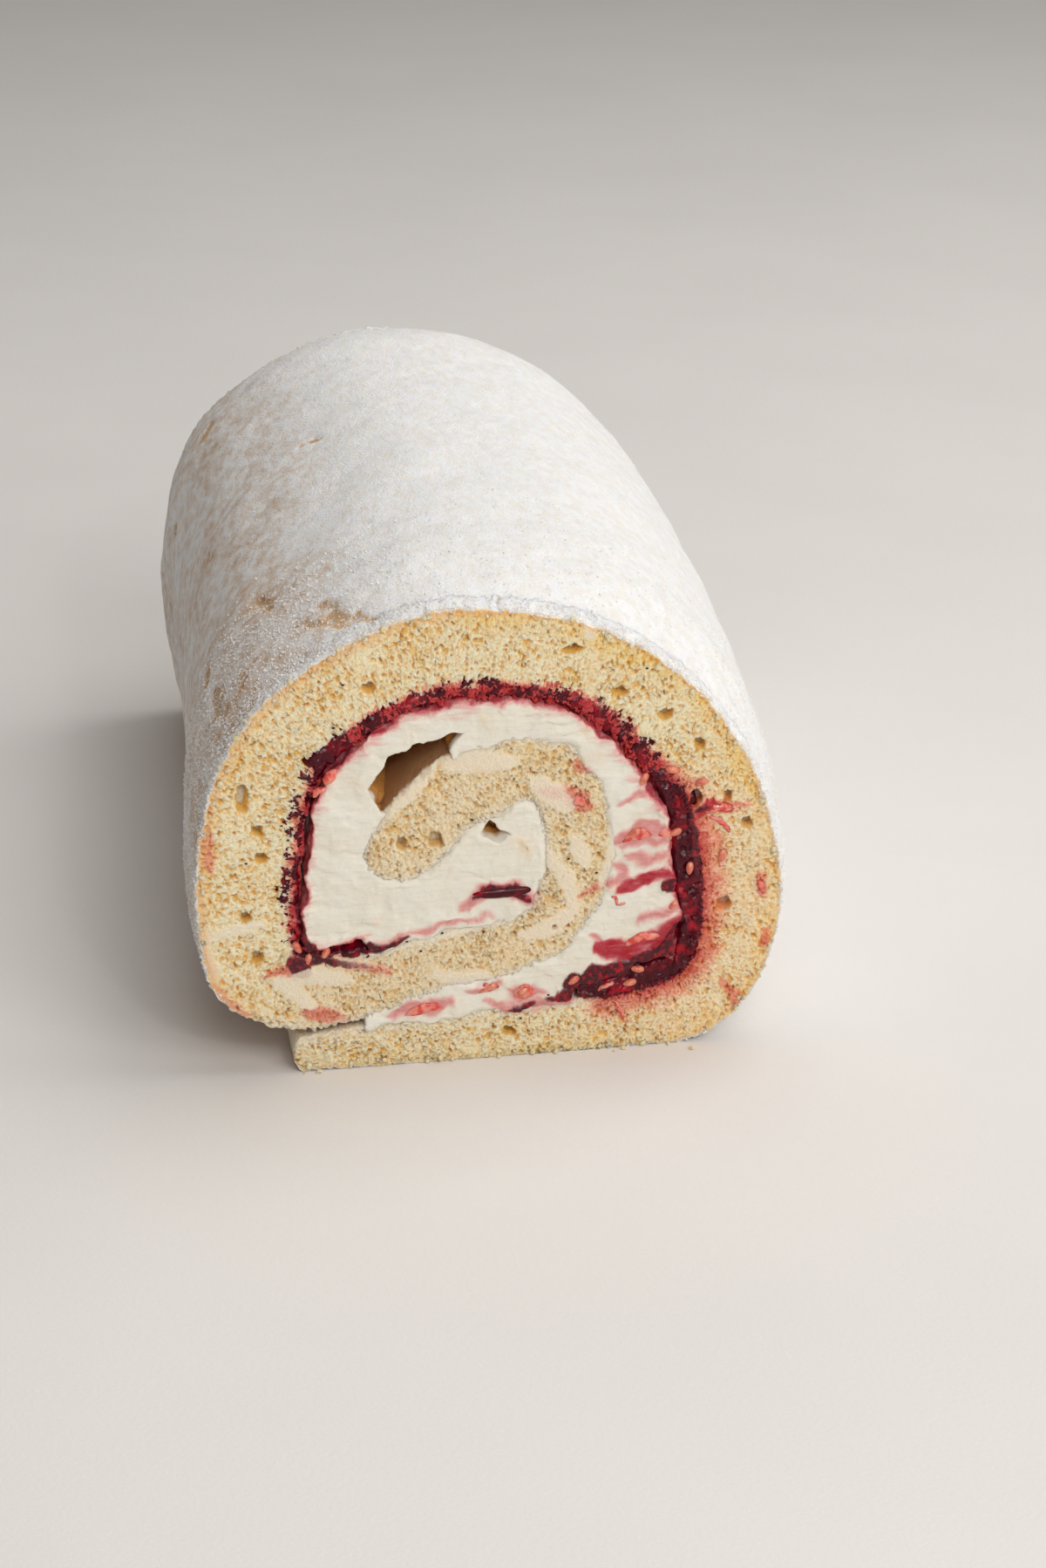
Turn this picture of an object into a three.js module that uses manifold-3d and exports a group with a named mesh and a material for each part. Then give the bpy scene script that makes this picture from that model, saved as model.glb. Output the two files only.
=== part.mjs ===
// A swiss roll cake: one sheet of sponge, spread with raspberry jam and whipped cream, rolled up
// nearly two turns and cut at both ends.
// Millimetres, +Z up, +Y along the roll and away from the cut with the open hollows.
// The origin is the middle of the footprint, on the surface that the roll rests on.
import * as THREE from "three";
import { mergeVertices } from "three/addons/utils/BufferGeometryUtils.js";
import Module from "manifold-3d";

const LENGTH = 181;
const CUT_SKEW = THREE.MathUtils.degToRad(4.4); // both cuts are parallel, a little out of square
const SLICES = 6; // lengths of the roll between two rings of vertices
const SLICE_CROWDING = 0.09; // how far the slices crowd towards the cuts

// The knife squeezes the roll, so behind each cut the body is fuller than the cut itself.
const SWELL = 0.048;
const SWELL_REACH = 28;
const BOW = 3.2; // the middle of the roll lies this far to +X of its ends

const GAP = 0.3; // kept between touching layers
const SAMPLE_STEP = 3.6; // between two corners of an outline, along the sheet

// The sheet of sponge as it lies in the cut, from its flap to its tip in the heart of the roll.
// Each station is [x, z, sponge thickness, jam thickness on the filling side].
const STATIONS = [
  [-33.0, 2.8, 5.6, 0], // flap
  [-17.0, 3.8, 7.9, 0],
  [0.0, 4.2, 8.7, 0],
  [26.8, 5.4, 11.2, 3.6],
  [34.8, 8.4, 12.4, 2.8],
  [39.2, 14.9, 12.8, 2.8],
  [40.8, 28.0, 13.8, 3.8], // right side
  [35.2, 49.3, 12.1, 3.2],
  [16.8, 67.2, 11.3, 2.6],
  [-10.6, 70.9, 12.4, 2.2], // top
  [-32.2, 59.8, 12.2, 2.6],
  [-38.2, 50.5, 13.2, 2.2],
  [-40.5, 39.5, 14.0, 2.0], // left side
  [-41.0, 24.0, 13.8, 2.0],
  [-38.6, 16.9, 12.8, 1.5],
  [-33.4, 13.4, 12.0, 1.5],
  [-26.5, 13.1, 11.2, 2.0], // second turn, lying on the flap
  [-7.4, 17.8, 10.6, 0],
  [3.2, 19.7, 10.6, 0],
  [10.2, 23.6, 11.0, 0],
  [13.8, 31.1, 12.4, 0],
  [12.4, 45.7, 11.8, 0],
  [7.2, 49.8, 11.6, 0],
  [-4.8, 46.9, 13.2, 0], // heart
  [-15.4, 37.8, 12.2, 0],
  [-20.6, 34.5, 8.4, 0],
];
// Where along the sheet, as a distance from the flap, the fillings lie.
const JAM_FROM = 47;
const JAM_TO = 257;
const JAM_LEAST = 0.5;
const CREAM_FROM = 12;
const CREAM_TO = 255;

// A streak of jam that strayed into the cream at the heart.
const STREAK = { x: 1.3, z: 29.2, halfWidth: 5.2, halfHeight: 1.2, tilt: 0.08, corners: 16 };

// Hollows that the cream left beside the heart. They open at one cut and narrow with depth.
const HOLLOWS = [
  {
    depth: 48,
    endScale: 0.35,
    outline: [
      [-20.2, 49.5],
      [-18.0, 53.9],
      [-15.2, 56.0],
      [-11.4, 56.6],
      [-5.5, 56.7],
      [-4.0, 51.0],
      [-10.0, 44.0],
      [-16.6, 41.4],
    ],
  },
  {
    depth: 12,
    endScale: 0.3,
    outline: [
      [-1.4, 43.4],
      [2.3, 39.2],
      [0.0, 38.3],
      [-3.4, 40.4],
    ],
  },
];
const HOLLOW_SLICES = 3;
const CUTTER_OVERSHOOT = 1; // a cutter starts this far outside the solid it cuts

const material = (color, roughness) =>
  new THREE.MeshStandardMaterial({ color, roughness, metalness: 0 });
const SPONGE = material(0xe8d9a0, 0.95);
const CREAM = material(0xf6f0dc, 0.55);
const JAM = material(0x7a0f22, 0.25);

const wasm = await Module();
wasm.setup();

const midLine = new THREE.CatmullRomCurve3(
  STATIONS.map(([x, z]) => new THREE.Vector3(x, z, 0)),
  false,
  "centripetal",
);
midLine.arcLengthDivisions = 1000;
const thicknesses = new THREE.CatmullRomCurve3(
  STATIONS.map(([, , sponge, jam]) => new THREE.Vector3(sponge, jam, 0)),
  false,
  "catmullrom",
  0.5,
);
const SHEET_LENGTH = midLine.getLength();

// The sheet at a distance along it from the edge of the flap.
function sheetAt(distance) {
  const t = midLine.getUtoTmapping(distance / SHEET_LENGTH);
  const tangent = midLine.getTangent(t);
  const { x: sponge, y: jam } = thicknesses.getPoint(t);
  return {
    centre: midLine.getPoint(t),
    tangent,
    towardsFilling: new THREE.Vector3(-tangent.y, tangent.x, 0),
    half: sponge / 2,
    jam: Math.max(jam, JAM_LEAST),
  };
}

// The sheet between two distances, both included.
function stretch(from, to) {
  const count = Math.round((to - from) / SAMPLE_STEP);
  return Array.from({ length: count + 1 }, (_, i) =>
    sheetAt(THREE.MathUtils.lerp(from, to, i / count)),
  );
}

// One side of a band: the sheet's mid-line moved off by the offset, with both ends pushed on.
function side(sheet, offset, pushOn) {
  return sheet.map((s, i) => {
    const p = s.centre.clone().addScaledVector(s.towardsFilling, offset(s));
    if (i === 0) p.addScaledVector(s.tangent, -pushOn);
    if (i === sheet.length - 1) p.addScaledVector(s.tangent, pushOn);
    return new THREE.Vector2(p.x, Math.max(p.y, 0)); // its own weight flattens the underside
  });
}

function bandOutline(from, to, outerSide, fillingSide, pushOn) {
  const sheet = stretch(from, to);
  return [
    ...side(sheet, outerSide, pushOn),
    ...side(sheet, fillingSide, pushOn).reverse(),
  ];
}

// How much of the swell a section at y of the straight roll has: none at a cut, all past the reach.
function swellAt(y) {
  const fromCut = LENGTH / 2 - Math.abs(y);
  const rise = THREE.MathUtils.clamp(fromCut / SWELL_REACH, 0, 1);
  return rise * (2 - rise);
}

// Moves a point of the straight roll to where the soft, settled roll has it.
function settle(point) {
  const fuller = 1 + SWELL * swellAt(point.y);
  const bow = BOW * Math.cos((Math.PI * point.y) / LENGTH);
  const skewed = point.y + point.x * Math.tan(CUT_SKEW);
  return point.set(point.x * fuller + bow, skewed, point.z * fuller);
}

// Settles a geometry, and moves what lies at a cut out past it by the overshoot.
function settled(geometry, overshoot) {
  const position = geometry.getAttribute("position");
  const point = new THREE.Vector3();
  for (let i = 0; i < position.count; i++) {
    point.fromBufferAttribute(position, i);
    const atCut = Math.abs(point.y) > LENGTH / 2 - GAP;
    const past = atCut ? overshoot * Math.sign(point.y) : 0;
    settle(point);
    position.setXYZ(i, point.x, point.y + past, point.z);
  }
  return geometry;
}

// An outline of the cut run through the whole roll.
function runThrough(outline, overshoot = 0) {
  const geometry = new THREE.ExtrudeGeometry(new THREE.Shape(outline), {
    depth: 1,
    steps: SLICES,
    bevelEnabled: false,
  });
  const position = geometry.getAttribute("position");
  for (let i = 0; i < position.count; i++) {
    const share = position.getZ(i);
    const crowded = share - SLICE_CROWDING * Math.sin(2 * Math.PI * share);
    position.setZ(i, LENGTH * (crowded - 0.5));
  }
  return settled(geometry.rotateX(Math.PI / 2), overshoot);
}

// A plug that narrows towards its own middle with depth.
function hollowPlug({ outline, depth, endScale }) {
  const points = outline.map(([x, z]) => new THREE.Vector2(x, z));
  const middle = points
    .reduce((sum, p) => sum.add(p), new THREE.Vector2())
    .divideScalar(points.length);
  const geometry = new THREE.ExtrudeGeometry(new THREE.Shape(points), {
    depth,
    steps: HOLLOW_SLICES,
    bevelEnabled: false,
  });
  const position = geometry.getAttribute("position");
  for (let i = 0; i < position.count; i++) {
    const inwards = 1 - position.getZ(i) / depth;
    const scale = THREE.MathUtils.lerp(1, endScale, inwards ** 2);
    position.setX(i, middle.x + (position.getX(i) - middle.x) * scale);
    position.setY(i, middle.y + (position.getY(i) - middle.y) * scale);
  }
  geometry.rotateX(Math.PI / 2).translate(0, depth - LENGTH / 2, 0);
  return settled(geometry, CUTTER_OVERSHOOT);
}

function solid(geometry) {
  geometry.deleteAttribute("normal");
  geometry.deleteAttribute("uv");
  const merged = mergeVertices(geometry);
  return new wasm.Manifold(
    new wasm.Mesh({
      numProp: 3,
      vertProperties: merged.getAttribute("position").array,
      triVerts: new Uint32Array(merged.index.array),
    }),
  );
}

// The largest body of a solid, as a geometry. The crumbs that a cut leaves over are dropped.
function largestBody(manifold) {
  const largest = manifold
    .decompose()
    .reduce((a, b) => (b.volume() > a.volume() ? b : a));
  const { vertProperties, triVerts } = largest.getMesh();
  return new THREE.BufferGeometry()
    .setAttribute("position", new THREE.BufferAttribute(vertProperties, 3))
    .setIndex(new THREE.BufferAttribute(triVerts, 1));
}

// Each outline can be grown all round, to cut room for its layer and the gap about it.
const spongeOutline = (grow = 0) =>
  bandOutline(0, SHEET_LENGTH, (s) => -s.half - grow, (s) => s.half + grow, grow);

const jamOutline = (grow = 0) =>
  bandOutline(
    JAM_FROM,
    JAM_TO,
    (s) => s.half + GAP - grow,
    (s) => s.half + GAP + s.jam + grow,
    grow,
  );

function streakOutline(grow = 0) {
  const { x, z, halfWidth, halfHeight, tilt, corners } = STREAK;
  const ellipse = new THREE.EllipseCurve(x, z, halfWidth + grow, halfHeight + grow);
  ellipse.aRotation = tilt;
  return ellipse.getPoints(corners).slice(0, -1);
}

// The cream is all that the outer turn's mid-line encloses, less the other layers and the hollows.
function creamGeometry() {
  const enclosed = stretch(CREAM_FROM, CREAM_TO).map(
    ({ centre }) => new THREE.Vector2(centre.x, centre.y),
  );
  const layers = [spongeOutline(GAP), jamOutline(GAP), streakOutline(GAP)];
  const cutters = [
    ...layers.map((outline) => runThrough(outline, CUTTER_OVERSHOOT)),
    ...HOLLOWS.map(hollowPlug),
  ];
  return largestBody(
    cutters.reduce(
      (left, cutter) => left.subtract(solid(cutter)),
      solid(runThrough(enclosed)),
    ),
  );
}

function namedMesh(name, geometry, look) {
  const mesh = new THREE.Mesh(geometry, look);
  mesh.name = name;
  return mesh;
}

const roll = new THREE.Group();
roll.add(
  namedMesh("sponge", runThrough(spongeOutline()), SPONGE),
  namedMesh("jam", runThrough(jamOutline()), JAM),
  namedMesh("jam_streak", runThrough(streakOutline()), JAM),
  namedMesh("cream", creamGeometry(), CREAM),
);

const footprint = new THREE.Box3().setFromObject(roll);
const middle = footprint.getCenter(new THREE.Vector3());
roll.position.set(-middle.x, -middle.y, -footprint.min.z);

export default roll;
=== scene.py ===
"""A swiss roll cake: open crumb, whipped cream, raspberry jam and icing sugar on its packed frame."""

import math

import bmesh
import bpy
import numpy as np
from bpy.props import FloatProperty, FloatVectorProperty, PointerProperty
from bpy.types import Operator, Panel, PropertyGroup
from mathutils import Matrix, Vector, kdtree
from mathutils.noise import seed_set, turbulence_vector


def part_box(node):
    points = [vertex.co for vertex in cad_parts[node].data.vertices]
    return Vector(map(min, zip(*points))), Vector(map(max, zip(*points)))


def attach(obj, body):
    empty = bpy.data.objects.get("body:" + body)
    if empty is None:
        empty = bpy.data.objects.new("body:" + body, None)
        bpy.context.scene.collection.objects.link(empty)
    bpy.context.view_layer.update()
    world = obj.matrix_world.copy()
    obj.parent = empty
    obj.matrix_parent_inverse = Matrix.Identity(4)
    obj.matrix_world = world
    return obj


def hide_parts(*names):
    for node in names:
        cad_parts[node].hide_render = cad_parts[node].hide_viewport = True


bl_info = {
    "name": "Swiss roll cake",
    "version": (1, 0, 0),
    "blender": (4, 5, 0),
    "location": "View3D > Sidebar > Cake",
    "description": "Makes the crumb, cream, jam and icing sugar of a swiss roll cake",
    "category": "Add Mesh",
}

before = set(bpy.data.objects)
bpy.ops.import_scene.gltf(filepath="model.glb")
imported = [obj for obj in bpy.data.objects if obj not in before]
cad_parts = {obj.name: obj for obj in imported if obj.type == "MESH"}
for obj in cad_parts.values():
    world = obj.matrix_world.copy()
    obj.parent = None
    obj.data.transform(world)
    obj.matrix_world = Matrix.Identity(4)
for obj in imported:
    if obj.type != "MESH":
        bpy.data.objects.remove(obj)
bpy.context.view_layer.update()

MM = 0.001
SHARP_FROM = math.radians(75)  # edges sharper than this stay sharp
FRONT = -1  # the cut with the open hollows, at -Y
BACK = 1

# The sheet of sponge as it lies in the cut, from its flap to its tip in the heart of the roll.
# Each station is x, z, sponge thickness and jam thickness on the filling side, in millimetres.
STATIONS = (
    (-33.0, 2.8, 5.6, 0),  # flap
    (-17.0, 3.8, 7.9, 0),
    (0.0, 4.2, 8.7, 0),
    (26.8, 5.4, 11.2, 3.6),
    (34.8, 8.4, 12.4, 2.8),
    (39.2, 14.9, 12.8, 2.8),
    (40.8, 28.0, 13.8, 3.8),  # right side
    (35.2, 49.3, 12.1, 3.2),
    (16.8, 67.2, 11.3, 2.6),
    (-10.6, 70.9, 12.4, 2.2),  # top
    (-32.2, 59.8, 12.2, 2.6),
    (-38.2, 50.5, 13.2, 2.2),
    (-40.5, 39.5, 14.0, 2.0),  # left side
    (-41.0, 24.0, 13.8, 2.0),
    (-38.6, 16.9, 12.8, 1.5),
    (-33.4, 13.4, 12.0, 1.5),
    (-26.5, 13.1, 11.2, 2.0),  # second turn, lying on the flap
    (-7.4, 17.8, 10.6, 0),
    (3.2, 19.7, 10.6, 0),
    (10.2, 23.6, 11.0, 0),
    (13.8, 31.1, 12.4, 0),
    (12.4, 45.7, 11.8, 0),
    (7.2, 49.8, 11.6, 0),
    (-4.8, 46.9, 13.2, 0),  # heart
    (-15.4, 37.8, 12.2, 0),
    (-20.6, 34.5, 8.4, 0),
)
# Where along the sheet, as a distance from the flap, the fillings lie.
JAM_SPAN = (47 * MM, 257 * MM)
CREAM_SPAN = (12 * MM, 255 * MM)
JAM_LEAST = 0.5 * MM
EXPOSED_TO = 236 * MM  # past this distance the skin of the sheet lies inside the roll

# Hollows that the cream left beside the heart: depth, width at the end, and outline in the cut.
HOLLOWS = (
    (
        48,
        0.35,
        (
            (-20.1, 49.2),
            (-16.7, 54.2),
            (-13.2, 55.4),
            (-10.0, 56.4),
            (-4.0, 57.0),
            (-6.6, 54.0),
            (-7.5, 49.5),
            (-13.0, 43.5),
            (-18.4, 43.6),
            (-19.4, 46.4),
        ),
    ),
    (12, 0.3, ((-1.0, 42.6), (3.0, 39.0), (0.6, 37.4), (-2.8, 39.8))),
)


# ---------------------------------------------------------------- sizes and colours


def tone(red, green, blue):
    """A colour given as 0 to 255 on a screen, as the linear values that shaders use."""
    return tuple(((c / 255 + 0.055) / 1.055) ** 2.4 for c in (red, green, blue))


def length(name, description, default):
    return FloatProperty(
        name=name, description=description, default=default, unit="LENGTH", precision=5
    )


def share(name, description, default):
    return FloatProperty(name=name, description=description, default=default, min=0, max=2)


def colour(name, description, default):
    return FloatVectorProperty(
        name=name, description=description, default=default, subtype="COLOR", size=3, min=0, max=1
    )


class RollSettings(PropertyGroup):
    """How the rolled sheet lies between its two cuts."""

    length: length("Length", "Between the two cuts, along the roll", 0.181)
    skew: FloatProperty(
        name="Skew",
        description="How far the cuts are out of square",
        default=math.radians(4.4),
        unit="ROTATION",
    )
    swell: share("Swell", "How much fuller the body is than its cuts", 0.048)
    swell_reach: length("Swell reach", "Behind a cut, where the body is full", 0.028)
    bow: length("Bow", "How far the middle lies to the right of the ends", 0.0032)


class CrumbSettings(PropertyGroup):
    """The open crumb of the sponge."""

    spacing: length("Spacing", "Between two points of the cut face", 0.00023)
    depth: length("Depth", "Of the cut's slab, behind the deepest pores", 0.0053)
    skin_spacing: length("Skin spacing", "Between two points of the sugared skin", 0.0008)
    light: colour("Crumb", "The crumb's walls", tone(252, 239, 208))
    # Pores: painted shade, warm like light scattered inside the crumb. crumb_look lays more of it the
    # deeper a point sinks into a pore.
    hollow: colour("Pores", "The crumb seen inside its pores", tone(238, 192, 104))
    peach: colour("Peach", "The crumb's tinge on the right", tone(255, 206, 160))
    golden: colour("Golden", "The crumb near the skin", tone(252, 206, 112))
    heart: colour("Heart", "The crumb's tinge in the inner turn", tone(226, 204, 172))
    crust: colour("Crust", "The thin baked rim of a cut", tone(242, 194, 140))
    browned: colour("Browned", "The skin where it is baked most", tone(172, 126, 86))
    skin: colour("Skin", "The skin where it is baked least", tone(214, 170, 124))
    creased: colour("Creased", "The skin in its creases", tone(222, 182, 136))


class CreamSettings(PropertyGroup):
    """The whipped cream between the turns."""

    voxel: length("Voxel", "Cell of the cream's cut", 0.0003)
    depth: length("Depth", "Of the detailed cream behind a cut", 0.005)
    light: colour("Cream", "Whipped cream", tone(232, 230, 222))
    rich: colour("Rich cream", "Where the cream is denser", tone(227, 219, 200))
    warm: colour("Warm cream", "Where crumb tints the cream", tone(232, 208, 176))
    smeared: colour("Smeared cream", "Cream dragged over the crumb", tone(248, 232, 212))
    # The darker of the two tones of the hollows' lining, mixed with the paler one by a noise.
    dark_lining: colour("Syrup", "The lining of the hollows, where it is dark", tone(172, 112, 48))
    lining: colour("Lining", "The lining of the hollows, where it is pale", tone(216, 162, 92))


class JamSettings(PropertyGroup):
    """The raspberry jam on the filling side of the outer turn."""

    spacing: length("Spacing", "Between two points of the jam's cut", 0.0003)
    dark: colour("Jam", "Thick jam", tone(72, 3, 20))
    bright: colour("Bright jam", "Jam and pulp where it is thinner", tone(184, 14, 36))
    film: colour("Film", "White seen through the thinnest jam", tone(248, 192, 196))
    pulp: colour("Tint", "White seen through a smear of jam", tone(206, 76, 98))


class SugarSettings(PropertyGroup):
    """Icing sugar on the skin."""

    powder: colour("Sugar", "Fine powder", tone(249, 249, 249))
    # Shade: greyer powder that sugar_group lays in the low places between clumps. It is partly thinner
    # powder and partly painted shade.
    shade: colour("Shade", "Powder that lies less thickly", tone(242, 239, 235))


class StageSettings(PropertyGroup):
    """Floor, light and camera."""

    floor: colour("Floor", "Plain pale floor", tone(234, 231, 228))
    lens: FloatProperty(name="Lens", description="Focal length, mm", default=90.1)


SETTINGS = {
    "cake_roll": RollSettings,
    "cake_crumb": CrumbSettings,
    "cake_cream": CreamSettings,
    "cake_jam": JamSettings,
    "cake_sugar": SugarSettings,
    "cake_stage": StageSettings,
}


# ---------------------------------------------------------------- the rolled sheet


def smooth(low, high, value):
    """0 at low, 1 at high and beyond them, and a soft step between them."""
    rise = np.clip((value - low) / (high - low), 0, 1)
    return rise * rise * (3 - 2 * rise)


def through(knots, places, power):
    """Points of a Catmull-Rom curve through the knots, at places from 0 to 1."""
    padded = np.vstack([2 * knots[0] - knots[1], knots, 2 * knots[-1] - knots[-2]])
    at = np.clip(places, 0, 1) * (len(knots) - 1)
    first = np.minimum(at.astype(int), len(knots) - 2)
    t = (at - first)[:, None]
    p = [padded[first + k] for k in range(4)]
    reach = [np.linalg.norm(b - a, axis=1, keepdims=True) ** power for a, b in zip(p, p[1:])]
    middle = (p[2] - p[1]) / reach[1]
    leave = reach[1] * ((p[1] - p[0]) / reach[0] - (p[2] - p[0]) / (reach[0] + reach[1]) + middle)
    arrive = reach[1] * (middle - (p[3] - p[1]) / (reach[1] + reach[2]) + (p[3] - p[2]) / reach[2])
    square = 3 * (p[2] - p[1]) - 2 * leave - arrive
    cube = 2 * (p[1] - p[2]) + leave + arrive
    return p[1] + t * (leave + t * (square + t * cube))


class Sheet:
    """The rolled sheet in the cut, as x and z at a distance from the flap, in metres."""

    CENTRIPETAL = 0.5
    UNIFORM = 0
    ROWS = 8001  # of the tables that it looks up

    def __init__(self, stations):
        knots = np.array(stations) * MM
        places = np.linspace(0, 1, self.ROWS)
        self.line = through(knots[:, :2], places, self.CENTRIPETAL)
        self.thickness = through(knots[:, 2:], places, self.UNIFORM)
        steps = np.linalg.norm(np.diff(self.line, axis=0), axis=1)
        self.distance = np.concatenate([[0], np.cumsum(steps)])
        self.length = self.distance[-1]
        tangent = np.gradient(self.line, axis=0)
        self.tangent = tangent / np.linalg.norm(tangent, axis=1, keepdims=True)

    def look_up(self, table, along):
        return np.stack([np.interp(along, self.distance, column) for column in table.T], -1)

    def half(self, along):
        return self.look_up(self.thickness, along)[:, 0] / 2

    def jam(self, along):
        return np.maximum(self.look_up(self.thickness, along)[:, 1], JAM_LEAST)

    def to_filling(self, along):
        tangent = self.look_up(self.tangent, along)
        return np.stack([-tangent[:, 1], tangent[:, 0]], -1)

    def place(self, along, offset):
        """x and z of points that lie an offset from the middle line, towards the filling."""
        spot = self.look_up(self.line, along) + self.to_filling(along) * np.asarray(offset)[:, None]
        return np.stack([spot[:, 0], np.maximum(spot[:, 1], 0)], -1)

    def band(self, span, low, high, spacing):
        """The outline of a band between two offsets, which are functions of the distance."""
        along = np.linspace(*span, round((span[1] - span[0]) / spacing) + 1)
        return np.vstack([self.place(along, low(along)), self.place(along, high(along))[::-1]])


SHEET = Sheet(STATIONS)


def ragged(along, spacing, seed):
    """A number from 0 to 1 that wanders along the sheet."""
    knots = np.arange(0, SHEET.length + spacing, spacing)
    return np.interp(along, knots, np.random.default_rng(seed).random(len(knots)))


def straight_to_settled(points, roll):
    """Points of the straight roll, moved to where the soft, settled roll has them."""
    x, y, z = points.T
    rise = np.clip((roll.length / 2 - np.abs(y)) / roll.swell_reach, 0, 1)
    fuller = 1 + roll.swell * rise * (2 - rise)
    bow = roll.bow * np.cos(math.pi * y / roll.length)
    return np.stack([x * fuller + bow, y + x * math.tan(roll.skew), np.maximum(z, 0) * fuller], -1)


def footprint_shift(roll):
    """From the settled roll to the frame, which has its origin in the middle of the footprint."""
    columns, rows = 400, 61
    along = np.linspace(0, SHEET.length, columns)
    skin = SHEET.place(along, -SHEET.half(along))
    places = np.linspace(-roll.length / 2, roll.length / 2, rows)
    points = np.array([(x, y, z) for y in places for x, z in skin])
    settled = straight_to_settled(points, roll)
    low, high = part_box("sponge")
    shift = (np.array(low) + np.array(high) - settled.min(0) - settled.max(0)) / 2
    return np.array([shift[0], shift[1], 0])


# ---------------------------------------------------------------- mesh helpers


def select_only(piece):
    """Makes a piece the only selected and the active object."""
    if bpy.context.object and bpy.context.object.mode != "OBJECT":
        bpy.ops.object.mode_set(mode="OBJECT")
    bpy.ops.object.select_all(action="DESELECT")
    piece.select_set(True)
    bpy.context.view_layer.objects.active = piece


def just_added(name):
    """The primitive that was added last, with the name of its piece."""
    piece = bpy.context.object
    piece.name = piece.data.name = name
    return piece


def coordinates(piece):
    flat = np.empty(len(piece.data.vertices) * 3, np.float32)
    piece.data.vertices.foreach_get("co", flat)
    return flat.reshape(-1, 3).astype(float)


def move_to(piece, points):
    piece.data.vertices.foreach_set("co", np.asarray(points, np.float32).ravel())
    piece.data.update()


def store(piece, name, values):
    """Keeps a number, or a vector, for each vertex of a piece."""
    kind, field = ("FLOAT", "value") if np.ndim(values) == 1 else ("FLOAT_VECTOR", "vector")
    attribute = piece.data.attributes.get(name) or piece.data.attributes.new(name, kind, "POINT")
    attribute.data.foreach_set(field, np.asarray(values, np.float32).ravel())


def recall(piece, name):
    """The number that each vertex of a piece keeps."""
    values = np.empty(len(piece.data.vertices), np.float32)
    piece.data.attributes[name].data.foreach_get("value", values)
    return values


def apply_all(piece):
    """Applies the modifiers of a piece in their order."""
    select_only(piece)
    for modifier in list(piece.modifiers):
        bpy.ops.object.modifier_apply(modifier=modifier.name)


def shape_by(piece, group, **inputs):
    """Runs a piece through a Geometry Nodes group and keeps the result."""
    modifier = piece.modifiers.new(group.name, "NODES")
    modifier.node_group = group
    for item in group.interface.items_tree:
        if item.in_out == "INPUT" and item.name in inputs:
            modifier[item.identifier] = inputs[item.name]
    apply_all(piece)


def select_border(piece):
    """Selects the open edges of a piece in edit mode."""
    select_only(piece)
    bpy.ops.object.mode_set(mode="EDIT")
    bpy.ops.mesh.select_mode(type="EDGE")
    bpy.ops.mesh.select_all(action="DESELECT")
    bpy.ops.mesh.select_non_manifold(
        extend=False,
        use_wire=False,
        use_boundary=True,
        use_multi_face=False,
        use_non_contiguous=False,
        use_verts=False,
    )


def sort_faces(shape):
    """Puts faces in the order of their vertices. Extrusion leaves them in another one in each run."""
    shape.verts.index_update()
    count = len(shape.verts)

    def place(face):
        corners = [vertex.index for vertex in face.verts]
        return min(corners) * count + max(corners)

    shape.faces.sort(key=place)


def extrude_back(piece, y_goal, rows):
    """Extrudes the border of a cut face back to a plane in rows, and closes it there."""
    select_border(piece)
    for left in range(rows, 0, -1):
        bpy.ops.mesh.extrude_edges_move()
        shape = bmesh.from_edit_mesh(piece.data)
        side = shape.verts.layers.float.get("side")
        for vertex in shape.verts:
            if vertex.select:
                vertex.co.y += (y_goal - vertex.co.y) / left
                if side:
                    vertex[side] = 1
        bmesh.update_edit_mesh(piece.data)
    bpy.ops.mesh.edge_face_add()
    sort_faces(bmesh.from_edit_mesh(piece.data))
    bmesh.update_edit_mesh(piece.data)
    face_outwards()


def face_outwards():
    """In edit mode, turns all faces outwards."""
    bpy.ops.mesh.select_all(action="SELECT")
    bpy.ops.mesh.normals_make_consistent(inside=False)
    bpy.ops.object.mode_set(mode="OBJECT")


def rolled_grid(name, end, span, spacing, low, high, rows):
    """A flat grid laid in the plane of a cut, as long as a span of the sheet and rolled up like it.

    Returns the piece with the distance along the sheet and the share across the band of each vertex.
    """
    half_length = bpy.context.scene.cake_roll.length / 2
    columns = round((span[1] - span[0]) / spacing)
    bpy.ops.mesh.primitive_grid_add(x_subdivisions=columns, y_subdivisions=rows, size=1)
    piece = just_added(name)
    flat = coordinates(piece)
    along = np.interp(flat[:, 0], (-0.5, 0.5), span)
    across = flat[:, 1] + 0.5
    offset = low(along) + across * (high(along) - low(along))
    spot = SHEET.place(along, offset)
    move_to(piece, np.stack([spot[:, 0], np.full(len(spot), end * half_length), spot[:, 1]], -1))
    return piece, along, across


def prism(name, outline, y_from, y_to):
    """A closed prism over an outline of the cut, a list of x and z."""
    bpy.ops.mesh.primitive_circle_add(vertices=len(outline), fill_type="NGON")
    piece = just_added(name)
    outline = np.asarray(outline)
    move_to(piece, np.stack([outline[:, 0], np.full(len(outline), y_from), outline[:, 1]], -1))
    select_only(piece)
    bpy.ops.object.mode_set(mode="EDIT")
    bpy.ops.mesh.select_all(action="SELECT")
    bpy.ops.mesh.extrude_region_move(TRANSFORM_OT_translate={"value": (0, y_to - y_from, 0)})
    face_outwards()
    return piece


def cut_away(piece, cutters):
    """Cuts other solids out of a piece, and removes them."""
    for cutter in cutters:
        modifier = piece.modifiers.new("cut", "BOOLEAN")
        modifier.operation = "DIFFERENCE"
        modifier.solver = "EXACT"
        modifier.object = cutter
    apply_all(piece)
    for cutter in cutters:
        bpy.data.objects.remove(cutter)


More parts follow.
